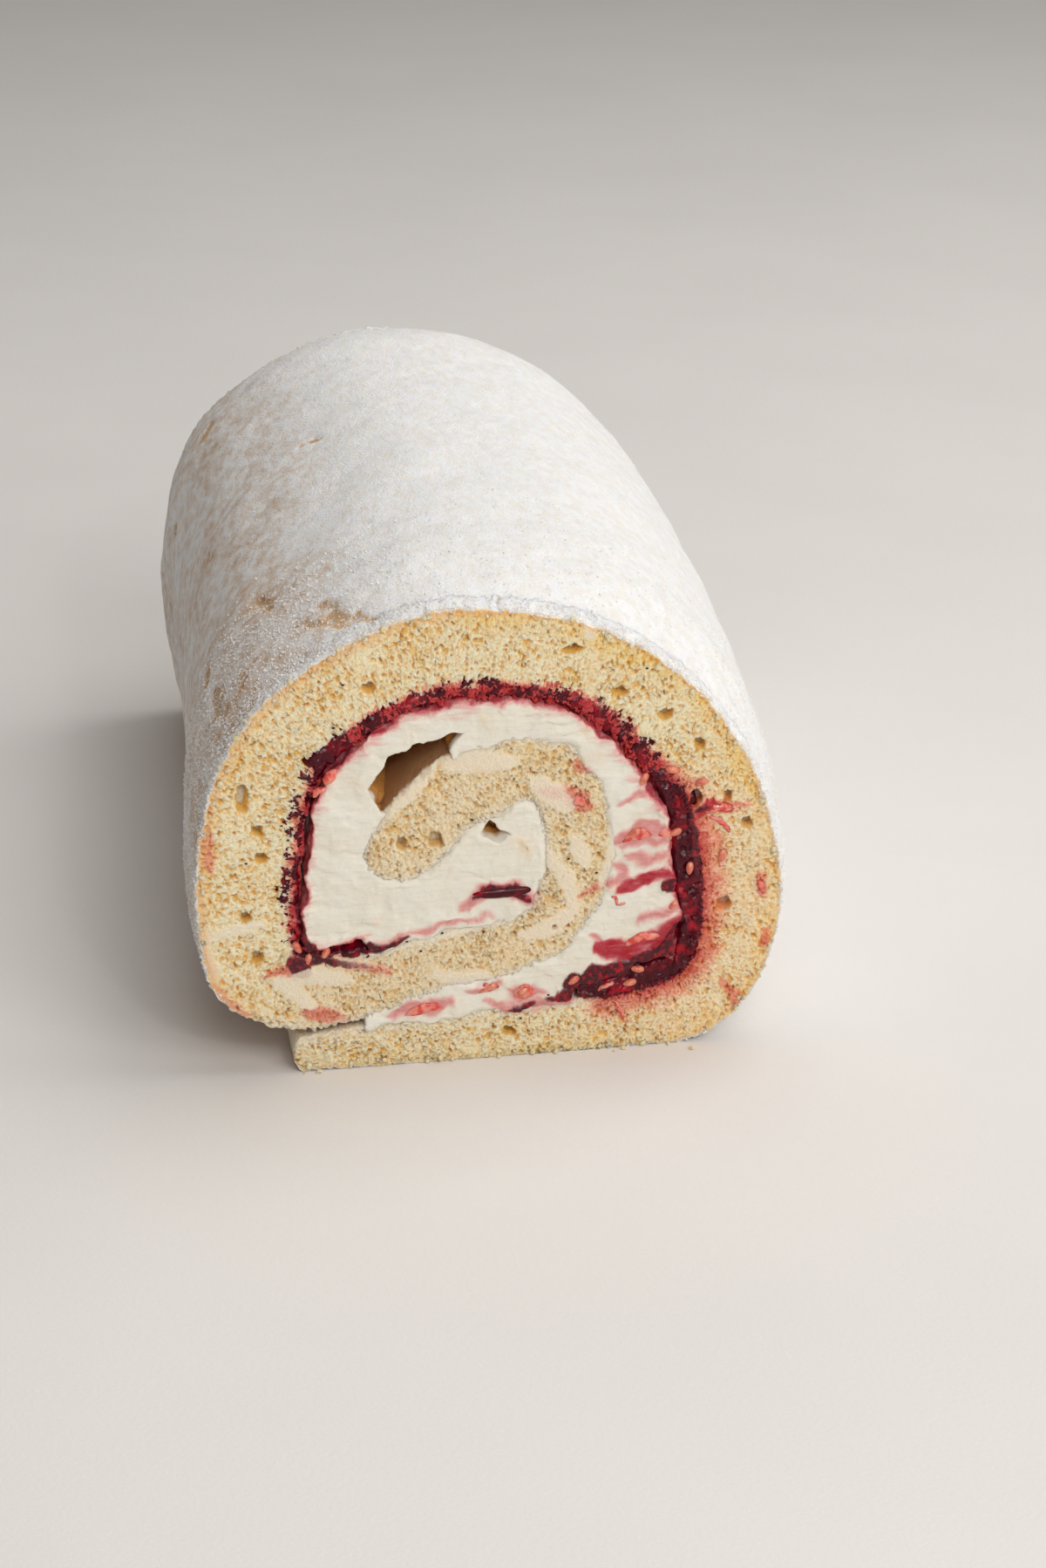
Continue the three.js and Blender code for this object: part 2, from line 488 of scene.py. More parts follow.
def voxel_skin(piece, size):
    """Gives a piece an even skin of cells."""
    modifier = piece.modifiers.new("cells", "REMESH")
    modifier.mode = "VOXEL"
    modifier.voxel_size = size
    apply_all(piece)


def settle(piece):
    """Moves a piece of the straight roll to its place in the frame."""
    roll = bpy.context.scene.cake_roll
    move_to(piece, straight_to_settled(coordinates(piece), roll) + footprint_shift(roll))


def dress(piece, material, slot, *nodes):
    """Gives a finished piece its shading and material, puts it on its body, and hides the parts of the
    frame that it stands for.
    """
    select_only(piece)
    bpy.ops.object.shade_smooth_by_angle(angle=SHARP_FROM)
    piece.data.materials.clear()
    piece.data.materials.append(material)
    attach(piece, "root")
    if nodes:
        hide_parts(*nodes)


def settle_and_dress(piece, material, slot, *nodes):
    settle(piece)
    dress(piece, material, slot, *nodes)


def join_as(name, pieces):
    """Joins pieces into one."""
    bpy.ops.object.select_all(action="DESELECT")
    for piece in pieces:
        piece.select_set(True)
    bpy.context.view_layer.objects.active = pieces[0]
    bpy.ops.object.join()
    pieces[0].name = pieces[0].data.name = name
    return pieces[0]


# ---------------------------------------------------------------- node helpers


class Tree:
    """Adds nodes to a node tree. Each input is an output of another node, or a value."""

    def __init__(self, tree):
        self.nodes = tree.nodes
        self.links = tree.links

    def fill(self, socket, value):
        if isinstance(value, bpy.types.NodeSocket):
            self.links.new(value, socket)
        else:
            socket.default_value = value

    def add(self, kind, inputs=None, **settings):
        node = self.nodes.new(kind)
        for name, value in settings.items():
            setattr(node, name, value)
        for name, value in (inputs or {}).items():
            self.fill(node.inputs[name], value)
        return node

    def math(self, operation, a, b=0.0, c=0.0):
        node = self.add("ShaderNodeMath", operation=operation)
        for socket, value in zip(node.inputs, (a, b, c)):
            self.fill(socket, value)
        return node.outputs[0]

    def total(self, *terms):
        result = terms[0]
        for term in terms[1:]:
            result = self.math("ADD", result, term)
        return result

    def less(self, a, b):
        return self.math("SUBTRACT", a, b)

    def rest(self, share):
        return self.math("SUBTRACT", 1.0, share)

    def times(self, a, b):
        return self.math("MULTIPLY", a, b)

    def most(self, a, b):
        return self.math("MAXIMUM", a, b)

    def swing(self, noise, reach):
        """A noise as a number that swings about zero."""
        return self.times(self.less(noise, 0.5), reach)

    def vector(self, operation, a, b=(0, 0, 0)):
        node = self.add("ShaderNodeVectorMath", operation=operation)
        self.fill(node.inputs[0], a)
        self.fill(node.inputs[1], b)
        return node.outputs["Value" if operation in ("LENGTH", "DOT_PRODUCT") else "Vector"]

    def scaled(self, vector, by):
        return self.add("ShaderNodeVectorMath", {0: vector, "Scale": by}, operation="SCALE").outputs[0]

    def joined(self, x=0.0, y=0.0, z=0.0):
        return self.add("ShaderNodeCombineXYZ", {0: x, 1: y, 2: z}).outputs[0]

    def noise(self, vector, size, detail=2.0, roughness=0.5, output="Fac"):
        """A noise with bumps of about a size. It is turned, so that its grid doesn't show in a cut."""
        turn = {"Vector": vector, "Axis": (0.5, 0.3, 0.8), "Angle": 0.9}
        turned = self.add("ShaderNodeVectorRotate", turn).outputs[0]
        inputs = {"Vector": turned, "Scale": 1 / size, "Detail": detail, "Roughness": roughness}
        return self.add("ShaderNodeTexNoise", inputs).outputs[output]

    def cells(self, vector, size):
        """How far a point lies from the middle of its cell, as a share of the size."""
        cell = self.add("ShaderNodeTexVoronoi", {"Vector": vector, "Scale": 1 / size})
        return cell.outputs["Distance"]

    def ease(self, value, low, high, start=0.0, end=1.0):
        inputs = {"Value": value, 1: low, 2: high, 3: start, 4: end}
        return self.add("ShaderNodeMapRange", inputs, interpolation_type="SMOOTHSTEP").outputs[0]

    def place_in_mm(self):
        return self.scaled(self.add("GeometryNodeInputPosition").outputs[0], 1 / MM)

    def kept(self, name, data_type="FLOAT"):
        """An attribute, inside a Geometry Nodes group."""
        node = self.add("GeometryNodeInputNamedAttribute", {"Name": name}, data_type=data_type)
        return node.outputs["Attribute"]

    def stored(self, name):
        """A number that a piece keeps at its vertices, inside a material."""
        return self.add("ShaderNodeAttribute", attribute_name=name).outputs["Fac"]

    def moved(self, geometry, offset):
        return self.add("GeometryNodeSetPosition", {"Geometry": geometry, "Offset": offset}).outputs[0]

    def placed(self, group, **inputs):
        """Places a shader node group, and gives its outputs."""
        return self.add("ShaderNodeGroup", inputs, node_tree=group).outputs

    def uneven(self, noise, by):
        """A colour noise as a push in mm, by as much as each axis is given."""
        return self.vector("MULTIPLY", self.vector("SUBTRACT", noise, (0.5, 0.5, 0.5)), by)

    def mix(self, factor, a, b, blend="MIX"):
        node = self.add("ShaderNodeMix", data_type="RGBA", blend_type=blend)
        for index, value in ((0, factor), (6, a), (7, b)):
            if isinstance(value, (tuple, list, bpy.types.bpy_prop_array)) or hasattr(value, "r"):
                value = (*value, 1)
            self.fill(node.inputs[index], value)
        return node.outputs[2]


def shader_group(name, given, made):
    """A shader node group with named inputs and outputs."""
    group = bpy.data.node_groups.new(name, "ShaderNodeTree")
    for direction, sockets in (("INPUT", given), ("OUTPUT", made)):
        for socket, kind in sockets.items():
            group.interface.new_socket(socket, in_out=direction, socket_type="NodeSocket" + kind)
    tree = Tree(group)
    return group, tree, tree.add("NodeGroupInput").outputs, tree.add("NodeGroupOutput").inputs


def geometry_group(name, *numbers):
    """A Geometry Nodes group with one geometry in and out, and numbers as further inputs."""
    group = bpy.data.node_groups.new(name, "GeometryNodeTree")
    group.interface.new_socket("Geometry", in_out="INPUT", socket_type="NodeSocketGeometry")
    for number in numbers:
        group.interface.new_socket(number, in_out="INPUT", socket_type="NodeSocketFloat")
    group.interface.new_socket("Geometry", in_out="OUTPUT", socket_type="NodeSocketGeometry")
    tree = Tree(group)
    return group, tree, tree.add("NodeGroupInput").outputs, tree.add("NodeGroupOutput").inputs


# ---------------------------------------------------------------- shapes made by fields


BUBBLES = (  # size of the cells in mm, and how much of its cell a bubble fills
    (0.54, 0.50),
    (1.3, 0.37),
    (0.38, 0.51),
)
BUBBLE_BLEND = 0.08  # mm over which two bubbles run into each other
PORE_BLEND = 0.1
CLOSING = 0.18  # how much a bubble narrows for each mm that it goes in
MARCH_STEPS = 18
LONGEST_STEP = 0.3  # mm

# How far noises push the points of a cut, in mm, along x, y and z.
WANDER = 1.2
ROUGHNESS = (0.45, 1.6, 0.45)
RAGGED = (0.9, 0, 0.9)
WAVY = (3.6, 0, 3.6)


def crumb_group():
    """Eats open pores into a cut face: what lies in a bubble sinks until it meets crumb."""
    group, tree, given, made = geometry_group("Open crumb", "Outwards", "Half length")
    enter = tree.add("GeometryNodeRepeatInput")
    leave = tree.add("GeometryNodeRepeatOutput")
    enter.pair_with_output(leave)
    enter.inputs["Iterations"].default_value = MARCH_STEPS
    tree.fill(enter.inputs["Geometry"], given["Geometry"])

    place = tree.place_in_mm()
    wander = tree.uneven(tree.noise(place, 0.9, 4, 0.7, "Color"), (WANDER, WANDER, WANDER))
    strayed = tree.vector("ADD", place, wander)
    denser = tree.ease(tree.noise(place, 6.0, 1), 0.35, 0.65, -0.06, 0.05)
    air = None
    for size, fill in BUBBLES:
        within = tree.less(fill, tree.cells(strayed, size))
        within = tree.times(tree.total(within, denser), size)
        air = within if air is None else tree.math("SMOOTH_MAX", air, within, BUBBLE_BLEND)
    air = tree.math("SMOOTH_MAX", air, tree.kept("pore"), PORE_BLEND)
    along_roll = tree.add("ShaderNodeSeparateXYZ", {0: place}).outputs["Y"]
    sunk = tree.less(given["Half length"], tree.math("ABSOLUTE", along_roll))
    closing = tree.times(sunk, CLOSING)
    shut = tree.rest(tree.kept("open"))
    air = tree.less(tree.less(air, closing), shut)
    step = tree.math("MINIMUM", tree.most(air, 0), LONGEST_STEP)
    inwards = tree.times(tree.times(step, given["Outwards"]), -MM)
    tree.fill(leave.inputs["Geometry"], tree.moved(enter.outputs["Geometry"], tree.joined(y=inwards)))

    marked = tree.add(
        "GeometryNodeStoreNamedAttribute",
        {"Geometry": leave.outputs["Geometry"], "Name": "sunk", "Value": sunk},
        data_type="FLOAT",
    )
    rough = tree.uneven(tree.noise(place, 0.5, 4, 0.75, "Color"), ROUGHNESS)
    torn = tree.times(tree.kept("torn"), tree.ease(tree.noise(place, 1.6, 3, 0.6), 0.36, 0.6, 0.1, 1.0))
    raised = tree.times(tree.less(tree.kept("lift"), torn), given["Outwards"])
    rough = tree.scaled(rough, tree.kept("open"))
    rough = tree.scaled(tree.vector("ADD", rough, tree.joined(y=raised)), MM)
    tree.fill(made["Geometry"], tree.moved(marked.outputs[0], rough))
    return group


def skin_group():
    """Gives the baked skin its soft lumps and wrinkles, along the stored outward directions."""
    group, tree, given, made = geometry_group("Baked skin")
    place = tree.place_in_mm()
    lumps = tree.swing(tree.noise(place, 15.0, 2), 1.6)
    dents = tree.swing(tree.noise(place, 4.0, 3, 0.6), 0.5)
    crease = tree.times(tree.kept("bare"), -0.7)
    puffs = tree.times(tree.swing(tree.noise(place, 1.1, 3, 0.6), 1.8), tree.kept("rim"))
    height = tree.times(tree.total(lumps, dents, crease, puffs), MM)
    offset = tree.scaled(tree.kept("outward", "FLOAT_VECTOR"), height)
    tree.fill(made["Geometry"], tree.moved(given["Geometry"], offset))
    return group


def cream_group():
    """Gives a cut of the cream its drag lines, lumps and uneven height."""
    group, tree, given, made = geometry_group("Dragged cream", "Outwards", "Half length")
    place = tree.place_in_mm()
    axes = tree.add("ShaderNodeSeparateXYZ", {0: place}).outputs
    sunk = tree.less(given["Half length"], tree.math("ABSOLUTE", axes["Y"]))
    near_cut = tree.ease(sunk, 0.0, 3.2, 1, 0)
    flat = tree.joined(axes["X"], 0.0, axes["Z"])
    stretched = tree.vector("MULTIPLY", flat, (0.16, 0, 1))
    ridges = tree.swing(tree.noise(stretched, 1.7, 2, 0.4), 1.4)
    where = tree.ease(tree.noise(flat, 9.0, 1), 0.4, 0.62, 0.25, 1.0)
    drag = tree.times(ridges, where)
    lumps = tree.swing(tree.noise(flat, 5.5, 2), 1.5)
    dip = tree.ease(tree.kept("under"), 0.0, 1.6, 0, -0.9)
    height = tree.total(drag, lumps, tree.kept("lift"), dip, 0.05)
    outwards = tree.times(tree.times(height, near_cut), given["Outwards"])
    edges = tree.uneven(tree.noise(place, 1.4, 2, 0.5, "Color"), RAGGED)
    wider = tree.uneven(tree.noise(place, 5.0, 1, 0.5, "Color"), WAVY)
    offset = tree.vector("ADD", tree.joined(y=outwards), tree.vector("ADD", edges, wider))
    tree.fill(made["Geometry"], tree.moved(given["Geometry"], tree.scaled(offset, MM)))
    return group


def jam_group():
    """Gives a cut of the jam its glossy, lumpy surface and sinks its edges below its neighbours."""
    group, tree, given, made = geometry_group("Lumpy jam", "Outwards")
    place = tree.place_in_mm()
    lumps = tree.swing(tree.noise(place, 2.0, 3, 0.6), 2.8)
    height = tree.less(lumps, tree.kept("recess"))
    outwards = tree.times(tree.times(height, tree.kept("cut")), given["Outwards"])
    edges = tree.uneven(tree.noise(place, 1.8, 2, 0.6, "Color"), RAGGED)
    edges = tree.scaled(edges, tree.kept("cut"))
    offset = tree.scaled(tree.vector("ADD", tree.joined(y=outwards), edges), MM)
    tree.fill(made["Geometry"], tree.moved(given["Geometry"], offset))
    return group


# ---------------------------------------------------------------- what the knife smeared over a cut

# Each smear is its width in millimetres and its route over the cut, as x and z.
THIN_JAM = (
    (4.8, ((16.8, 17.4), (23.1, 17.9), (27.3, 19.4), (31.5, 23.0))),
    (3.0, ((31.0, 30.4), (25.1, 30.2), (21.2, 28.0))),
    (2.8, ((33.6, 40.4), (36.2, 41.5), (39.0, 40.8))),
)
FAINT_JAM = (
    (3.6, ((20.3, 36.6), (23.9, 37.9), (29.6, 37.5))),
    (3.8, ((2.0, 11.2), (7.4, 10.9))),
    (3.0, ((-3.2, 12.0), (0.9, 13.2))),
    (2.4, ((-1.6, 9.4), (6.5, 8.6), (13.6, 9.8))),
    (2.8, ((-17.6, 8.6), (-11.6, 9.8), (-6.3, 10.7))),
    (4.0, ((12.4, 44.8), (15.4, 43.0))),
    (1.8, ((21.0, 35.6), (26.0, 36.0), (29.5, 35.9))),
    (1.6, ((20.2, 32.6), (21.9, 31.8), (20.7, 29.6))),
    (2.4, ((16.6, 19.6), (19.6, 17.4), (23.4, 16.2))),
    (1.8, ((14.0, 27.4), (19.0, 29.6), (26.0, 30.4), (31.0, 30.6))),
    (1.6, ((24.0, 22.2), (28.0, 23.6), (31.0, 26.6))),
    (1.6, ((22.0, 33.8), (26.0, 33.2), (30.5, 33.8))),
    (1.6, ((20.8, 42.6), (23.6, 44.6), (26.6, 45.6))),
    (1.6, ((16.8, 10.0), (20.1, 7.8), (22.0, 4.4))),
    (1.4, ((36.9, 42.2), (38.6, 41.6), (42.2, 41.3))),
    (1.5, ((31.6, 40.2), (34.4, 38.9), (37.4, 36.2))),
    (1.4, ((32.6, 38.2), (34.9, 37.2), (36.6, 34.6))),
    (1.6, ((28.5, 46.4), (27.2, 44.6), (26.6, 42.2))),
    (1.6, ((13.0, 50.5), (16.2, 49.1))),
    (1.8, ((7.6, 46.2), (13.4, 45.7))),
    (3.4, ((-31.4, 10.6), (-27.5, 9.6), (-23.9, 7.8))),
    (2.0, ((-28.4, 20.2), (-33.4, 18.4), (-37.6, 17.4))),
    (1.8, ((-27.4, 19.3), (-22.0, 18.0), (-17.0, 16.6))),
    (2.6, ((-46.6, 43.8), (-46.2, 40.4), (-45.9, 36.6))),
    (3.0, ((-45.8, 16.4), (-44.2, 13.4), (-40.4, 10.6))),
    (2.2, ((37.9, 10.2), (40.4, 7.6), (41.6, 4.8))),
    (2.2, ((45.4, 19.4), (45.0, 16.2))),
    (2.0, ((44.2, 29.0), (44.7, 25.2))),
    (1.4, ((-19.0, 21.9), (-10.0, 23.6), (-0.6, 25.3))),
    (3.6, ((-5.4, 27.6), (1.4, 29.8), (7.0, 27.8))),
)
THICK_JAM = (
    (3.4, ((-31.0, 24.0), (-29.2, 20.6))),
    (2.4, ((8.4, 9.6), (13.2, 11.0), (18.0, 12.6))),
    (1.6, ((2.0, 8.6), (6.4, 8.8))),
    (2.2, ((-32.2, 31.6), (-31.0, 25.4), (-29.3, 21.6), (-26.4, 19.3), (-20.3, 17.8))),
    (4.2, ((-32.2, 21.8), (-28.6, 19.6))),
    (3.8, ((-33.2, 19.8), (-30.4, 17.6))),
    (3.0, ((32.4, 40.5), (32.2, 33.0), (31.8, 27.0), (30.6, 22.4))),
    (3.0, ((31.4, 29.4), (28.4, 28.2))),
    (5.6, ((31.0, 21.4), (26.4, 16.0), (18.6, 13.2), (12.0, 12.4))),
    (1.0, ((33.2, 41.0), (35.4, 41.4))),
    (2.0, ((-3.4, 28.6), (1.4, 30.0), (6.2, 28.0))),
    (2.0, ((-23.0, 20.4), (-19.0, 21.0), (-14.5, 22.1))),
)
DRAGGED_CREAM = (
    (1.4, ((-47.0, 24.4), (-42.3, 25.8), (-37.4, 26.4))),
    (2.0, ((-47.4, 25.8), (-46.6, 22.0), (-45.0, 18.6))),
    (3.2, ((-35.6, 15.8), (-29.4, 16.8), (-24.0, 15.6))),
    (2.6, ((-34.0, 15.4), (-30.0, 11.6))),
    (3.4, ((-9.6, 15.6), (-4.9, 14.0), (-0.8, 14.4))),
    (3.0, ((-22.6, 30.0), (-18.1, 28.0), (-12.6, 29.0))),
    (3.6, ((-13.2, 48.0), (-11.0, 52.0), (-6.4, 55.8))),
    (3.4, ((-17.4, 44.2), (-14.2, 47.2), (-11.4, 50.0))),
    (4.0, ((-7.4, 51.6), (-2.0, 52.2), (3.4, 51.4))),
    (4.4, ((6.6, 47.6), (9.6, 45.6), (12.4, 43.2))),
    (2.8, ((9.2, 34.6), (11.8, 30.8), (12.8, 26.4))),
    (2.6, ((13.0, 37.8), (15.2, 33.2))),
    (3.0, ((5.0, 21.2), (9.4, 22.4), (13.6, 25.6))),
    (2.0, ((17.6, 29.0), (19.4, 34.4), (19.6, 40.0))),
    (1.8, ((13.4, 54.2), (17.2, 50.2), (19.6, 45.4))),
    (2.2, ((15.0, 75.0), (15.9, 72.2))),
    (2.4, ((-18.0, 21.0), (-10.0, 22.6), (0.0, 24.2))),
)
PORES = (  # the largest: x, z, width and height
    (33.2, 43.0, 2.4, 3.0),
    (41.8, 38.3, 2.4, 2.0),
    (37.9, 24.3, 2.6, 2.2),
    (10.1, 22.3, 2.6, 1.8),
    (15.8, 22.2, 1.8, 2.4),
    (0.3, 39.7, 2.6, 1.6),
    (27.8, 57.8, 2.6, 2.0),
    (12.7, 69.9, 3.8, 1.6),
    (38.4, 43.1, 2.0, 2.0),
    (-40.4, 48.0, 2.2, 5.7),
    (-37.9, 42.5, 2.0, 2.4),
    (-9.4, 38.8, 2.8, 2.8),
    (-14.9, 38.7, 2.0, 1.8),
    (-29.5, 53.8, 2.4, 1.8),
    (-40.0, 27.7, 1.8, 2.6),
    (-37.5, 38.0, 2.2, 2.0),
    (20.6, 62.2, 2.6, 1.8),
    (33.6, 52.4, 2.2, 2.6),
    (-20.0, 65.4, 2.6, 1.8),
    (2.4, 4.4, 2.8, 1.8),
    (-38.6, 20.6, 1.8, 2.2),
)
CREASES = (  # in the skin, through the sugar: width, then distance along the sheet and behind the cut
    (2.8, ((171.5, 3.6), (175.5, 6.0), (179.0, 17.0))),
    (2.2, ((176.0, 5.0), (178.0, 9.0), (183.0, 15.0))),
    (2.4, ((197.0, 9.0), (198.4, 15.0), (198.6, 23.0))),
    (1.2, ((154.0, 2.4), (157.0, 3.2))),
    (1.4, ((200.0, 30.0), (201.0, 44.0))),
    (1.6, ((188.0, 30.0), (190.0, 42.0))),
)
MORE_CREASES = 9  # strewn over the rest of the skin
PATH_POINTS = 24  # that stand for a smear's route
FEATHER = 0.8  # mm over which a smear fades beside its edge
SMEAR_LIFTS = (0.15, 0.35, 0.1)  # mm that thin jam, thick jam and cream stand out of the cut
BACK_SHIFT = (1.7, -1.3)  # mm, of what both cuts have
NOISE_SEED = 1


def turbulence(points, octaves):
    """A smooth noise at points, as vectors. Its seed is set, as Blender's own is another in each run."""
    seed_set(NOISE_SEED)
    return np.array([turbulence_vector(Vector(point), octaves, False) for point in points])


def wandered(x, z, reach, size):
    """Points of a cut in mm, moved about by a noise, so that what is drawn there has no clean edge."""
    push = turbulence(np.stack([x, np.zeros(len(x)), z], -1) / size, 3)
    return x + reach * push[:, 0], z + reach * push[:, 2]


def smeared(x, z, smears):
    """How much of the smears lies at points of a cut, from 0 to 1."""
    amount = np.zeros(len(x))
    places = np.linspace(0, 1, PATH_POINTS)
    for width, route in smears:
        knots = np.array(route, float)
        if len(knots) == 2:
            knots = np.vstack([knots[0], knots.mean(0), knots[1]])
        path = through(knots, places, Sheet.CENTRIPETAL)
        radius = 0.38 * width * np.sqrt(np.sin(math.pi * (0.04 + 0.92 * places)))
        low, high = path.min(0) - width / 2 - FEATHER, path.max(0) + width / 2 + FEATHER
        near = np.flatnonzero((x > low[0]) & (x < high[0]) & (z > low[1]) & (z < high[1]))
        gap = np.hypot(x[near, None] - path[:, 0], z[near, None] - path[:, 1]) - radius
        if len(near):
            amount[near] = np.maximum(amount[near], 1 - smooth(-0.5, FEATHER, gap.min(1)))
    return amount


def creased(along, behind):
    """How bare the skin is at points of it, from 0 to 1, where it is creased."""
    rng = np.random.default_rng(7)
    more = []
    for _ in range(MORE_CREASES):
        start = np.array([rng.uniform(168, 232), rng.uniform(14, 165)])
        run = rng.normal(0, 1, 2) * (2, 7)
        width = rng.uniform(0.6, 1.3)
        more.append((width, (start, start + run / 2 + rng.normal(0, 1, 2), start + run)))
    return smeared(*wandered(along, behind, 1.6, 3.0), CREASES + tuple(more))


def elsewhere(x, z):
    """Where the back cut has what the front cut has at a point, as the knife went a little off."""
    return x + BACK_SHIFT[0], z + BACK_SHIFT[1]


def smear_cut(piece, end, pores=False):
    """Stores at the vertices of a cut what is smeared over it, and how far that stands out, in mm."""
    x, _, z = coordinates(piece).T / MM
    if end == BACK:
        x, z = elsewhere(x, z)
    x, z = wandered(x, z, 0.5, 1.9)
    thin, thick, cream = (smeared(x, z, smears) for smears in (THIN_JAM, THICK_JAM, DRAGGED_CREAM))
    thin = np.maximum(thin, 0.5 * smeared(x, z, FAINT_JAM))
    store(piece, "thin_jam", thin)
    store(piece, "thick_jam", thick)
    store(piece, "dragged_cream", cream)
    lifts = (lift * amount for lift, amount in zip(SMEAR_LIFTS, (thin, thick, cream)))
    store(piece, "lift", sum(lifts))
    if pores:
        hole = np.full(len(x), -9.0)
        for px, pz, width, height in PORES:
            inside = 1 - np.hypot((x - px) / width * 2, (z - pz) / height * 2)
            hole = np.maximum(hole, inside * min(width, height) / 2)
        store(piece, "pore", hole)
    return thick, cream


# ---------------------------------------------------------------- materials


# Where along the sheet, in mm, its look changes over.
JAM_STARTS = (46, 52)
JAM_ENDS = (250, 258)
TOP = (104, 120)  # crumbs lie over the jam from here on
LEFT = (182, 198)


def new_material(name, **shader_values):
    """A material with one Principled BSDF. Values that are the same all over are set on its sockets."""
    material = bpy.data.materials.new(name)
    material.use_nodes = True
    tree = Tree(material.node_tree)
    shader = material.node_tree.nodes["Principled BSDF"]
    for socket, value in shader_values.items():
        shader.inputs[socket.replace("_", " ")].default_value = value
    place = tree.scaled(tree.add("ShaderNodeTexCoord").outputs["Object"], 1 / MM)
    return material, tree, shader, place


def bumped(tree, shader, height, distance, strength=1.0):
    bump = tree.add("ShaderNodeBump", {"Height": height, "Distance": distance, "Strength": strength})
    tree.fill(shader.inputs["Normal"], bump.outputs[0])


def sugar_group(sugar):
    """Icing sugar over a colour: how what lies at a place looks, and how high it stands."""
    group, tree, given, made = shader_group(
        "Icing sugar",
        {"Place": "Vector", "Under": "Color", "Cover": "Float"},
        {"Color": "Color", "Height": "Float"},
    )
    drawn = tree.vector("MULTIPLY", given["Place"], (1, 0.5, 1))
    drifts = tree.noise(drawn, 11.0, 3, 0.55)
    clumps = tree.noise(drawn, 1.8, 2, 0.5)
    shaken = tree.vector("ADD", given["Place"], tree.noise(given["Place"], 0.4, 2, 0.6, "Color"))
    grains = tree.cells(shaken, 0.5)
    amount = tree.total(
        given["Cover"], tree.swing(drifts, 0.9), tree.swing(clumps, 0.8), tree.swing(grains, -0.3)
    )
    mask = tree.ease(amount, -0.1, 0.85)
    # The low places of the clumps, which the height output sinks, get the greyer shade tone: thinner
    # powder, and painted shade between the clumps.
    powder = tree.mix(tree.ease(clumps, 0.35, 0.65), tuple(sugar.shade), tuple(sugar.powder))
    tree.fill(made["Color"], tree.mix(mask, given["Under"], powder))
    tree.fill(made["Height"], tree.less(tree.times(clumps, 1.2), grains))
    return group


def smear_group(jam):
    """Jam smeared over a colour: thin jam tints it, thick jam covers it. Wet says where it shines."""
    group, tree, given, made = shader_group(
        "Smeared jam",
        {"Place": "Vector", "Under": "Color", "Thin": "Float", "Thick": "Float"},
        {"Color": "Color", "Wet": "Float"},
    )
    streaks = tree.noise(tree.vector("MULTIPLY", given["Place"], (0.35, 1, 1)), 0.8, 4, 0.7)
    grains = tree.noise(given["Place"], 0.9, 4, 0.7)
    thin = tree.total(given["Thin"], tree.times(tree.swing(streaks, 0.9), given["Thin"]))
    thick = tree.total(given["Thick"], tree.times(tree.swing(grains, 0.9), given["Thick"]))
    tint = tree.mix(tree.ease(thin, 0.0, 0.45), (1, 1, 1), tuple(jam.film))
    tint = tree.mix(tree.ease(thin, 0.3, 0.85), tint, tuple(jam.pulp))
    tint = tree.mix(tree.ease(thin, 0.8, 1.2), tint, tuple(jam.bright))
    pulpy = tree.mix(1.0, given["Under"], tint, "MULTIPLY")
    deep = tree.mix(tree.ease(grains, 0.45, 0.72), tuple(jam.dark), tuple(jam.bright))
    cover = tree.ease(thick, 0.3, 0.85)
    tree.fill(made["Color"], tree.mix(cover, pulpy, deep))
    tree.fill(made["Wet"], tree.most(cover, tree.ease(thin, 0.5, 1.0, 0, 0.7)))
    return group


def beside_jam(tree, along):
    """1 where the sheet has jam, and 0 where it has none."""
    return tree.times(tree.ease(along, *JAM_STARTS), tree.ease(along, *JAM_ENDS, 1, 0))


def crumb_look(tree, place, crumb):
    """The colour of cut crumb, with painted shade deep in its pores and golden near its skin, and its
    fine relief.
    """
    from_skin, along = tree.stored("from_skin"), tree.stored("along")
    speckle = tree.noise(place, 0.22, 3, 0.7)
    granules = tree.cells(tree.vector("ADD", place, tree.noise(place, 0.4, 2, 0.6, "Color")), 0.38)
    # depth: how far a point sank into a pore, plus noise. The deeper it is, the more of the pore colour
    # is laid on, as painted shade.
    depth = tree.total(
        tree.times(tree.stored("sunk"), 1.2),
        tree.swing(tree.noise(place, 1.6, 3, 0.6), 0.9),
        tree.swing(speckle, 0.9),
        tree.times(granules, 0.6),
    )
    look = tree.mix(tree.ease(depth, 0.1, 1.2), tuple(crumb.light), tuple(crumb.hollow))
    right = tree.times(tree.ease(along, 44, 60, 0, 0.5), tree.ease(along, 100, 122, 1, 0))
    look = tree.mix(tree.times(right, tree.noise(place, 7.0, 3)), look, tuple(crumb.peach))
    inner = tree.ease(along, EXPOSED_TO / MM, EXPOSED_TO / MM + 14, 0, 0.3)
    look = tree.mix(inner, look, tuple(crumb.heart))
    golden = tree.total(from_skin, tree.times(tree.noise(place, 9.0, 3), 8.0))
    # The crumb's own golden tone near the skin is laid stronger deeper in the pores, as painted shade.
    golden = tree.times(tree.ease(golden, 3.0, 9.0, 0.85, 0), tree.ease(depth, -0.3, 0.8, 0.3, 1))
    share = tree.ease(along, 156, 174, tree.ease(along, 92, 112, 0.5, 1.0), 0.15)
    look = tree.mix(tree.times(golden, share), look, tuple(crumb.golden))
    return look, tree.less(tree.times(speckle, 0.5), granules)


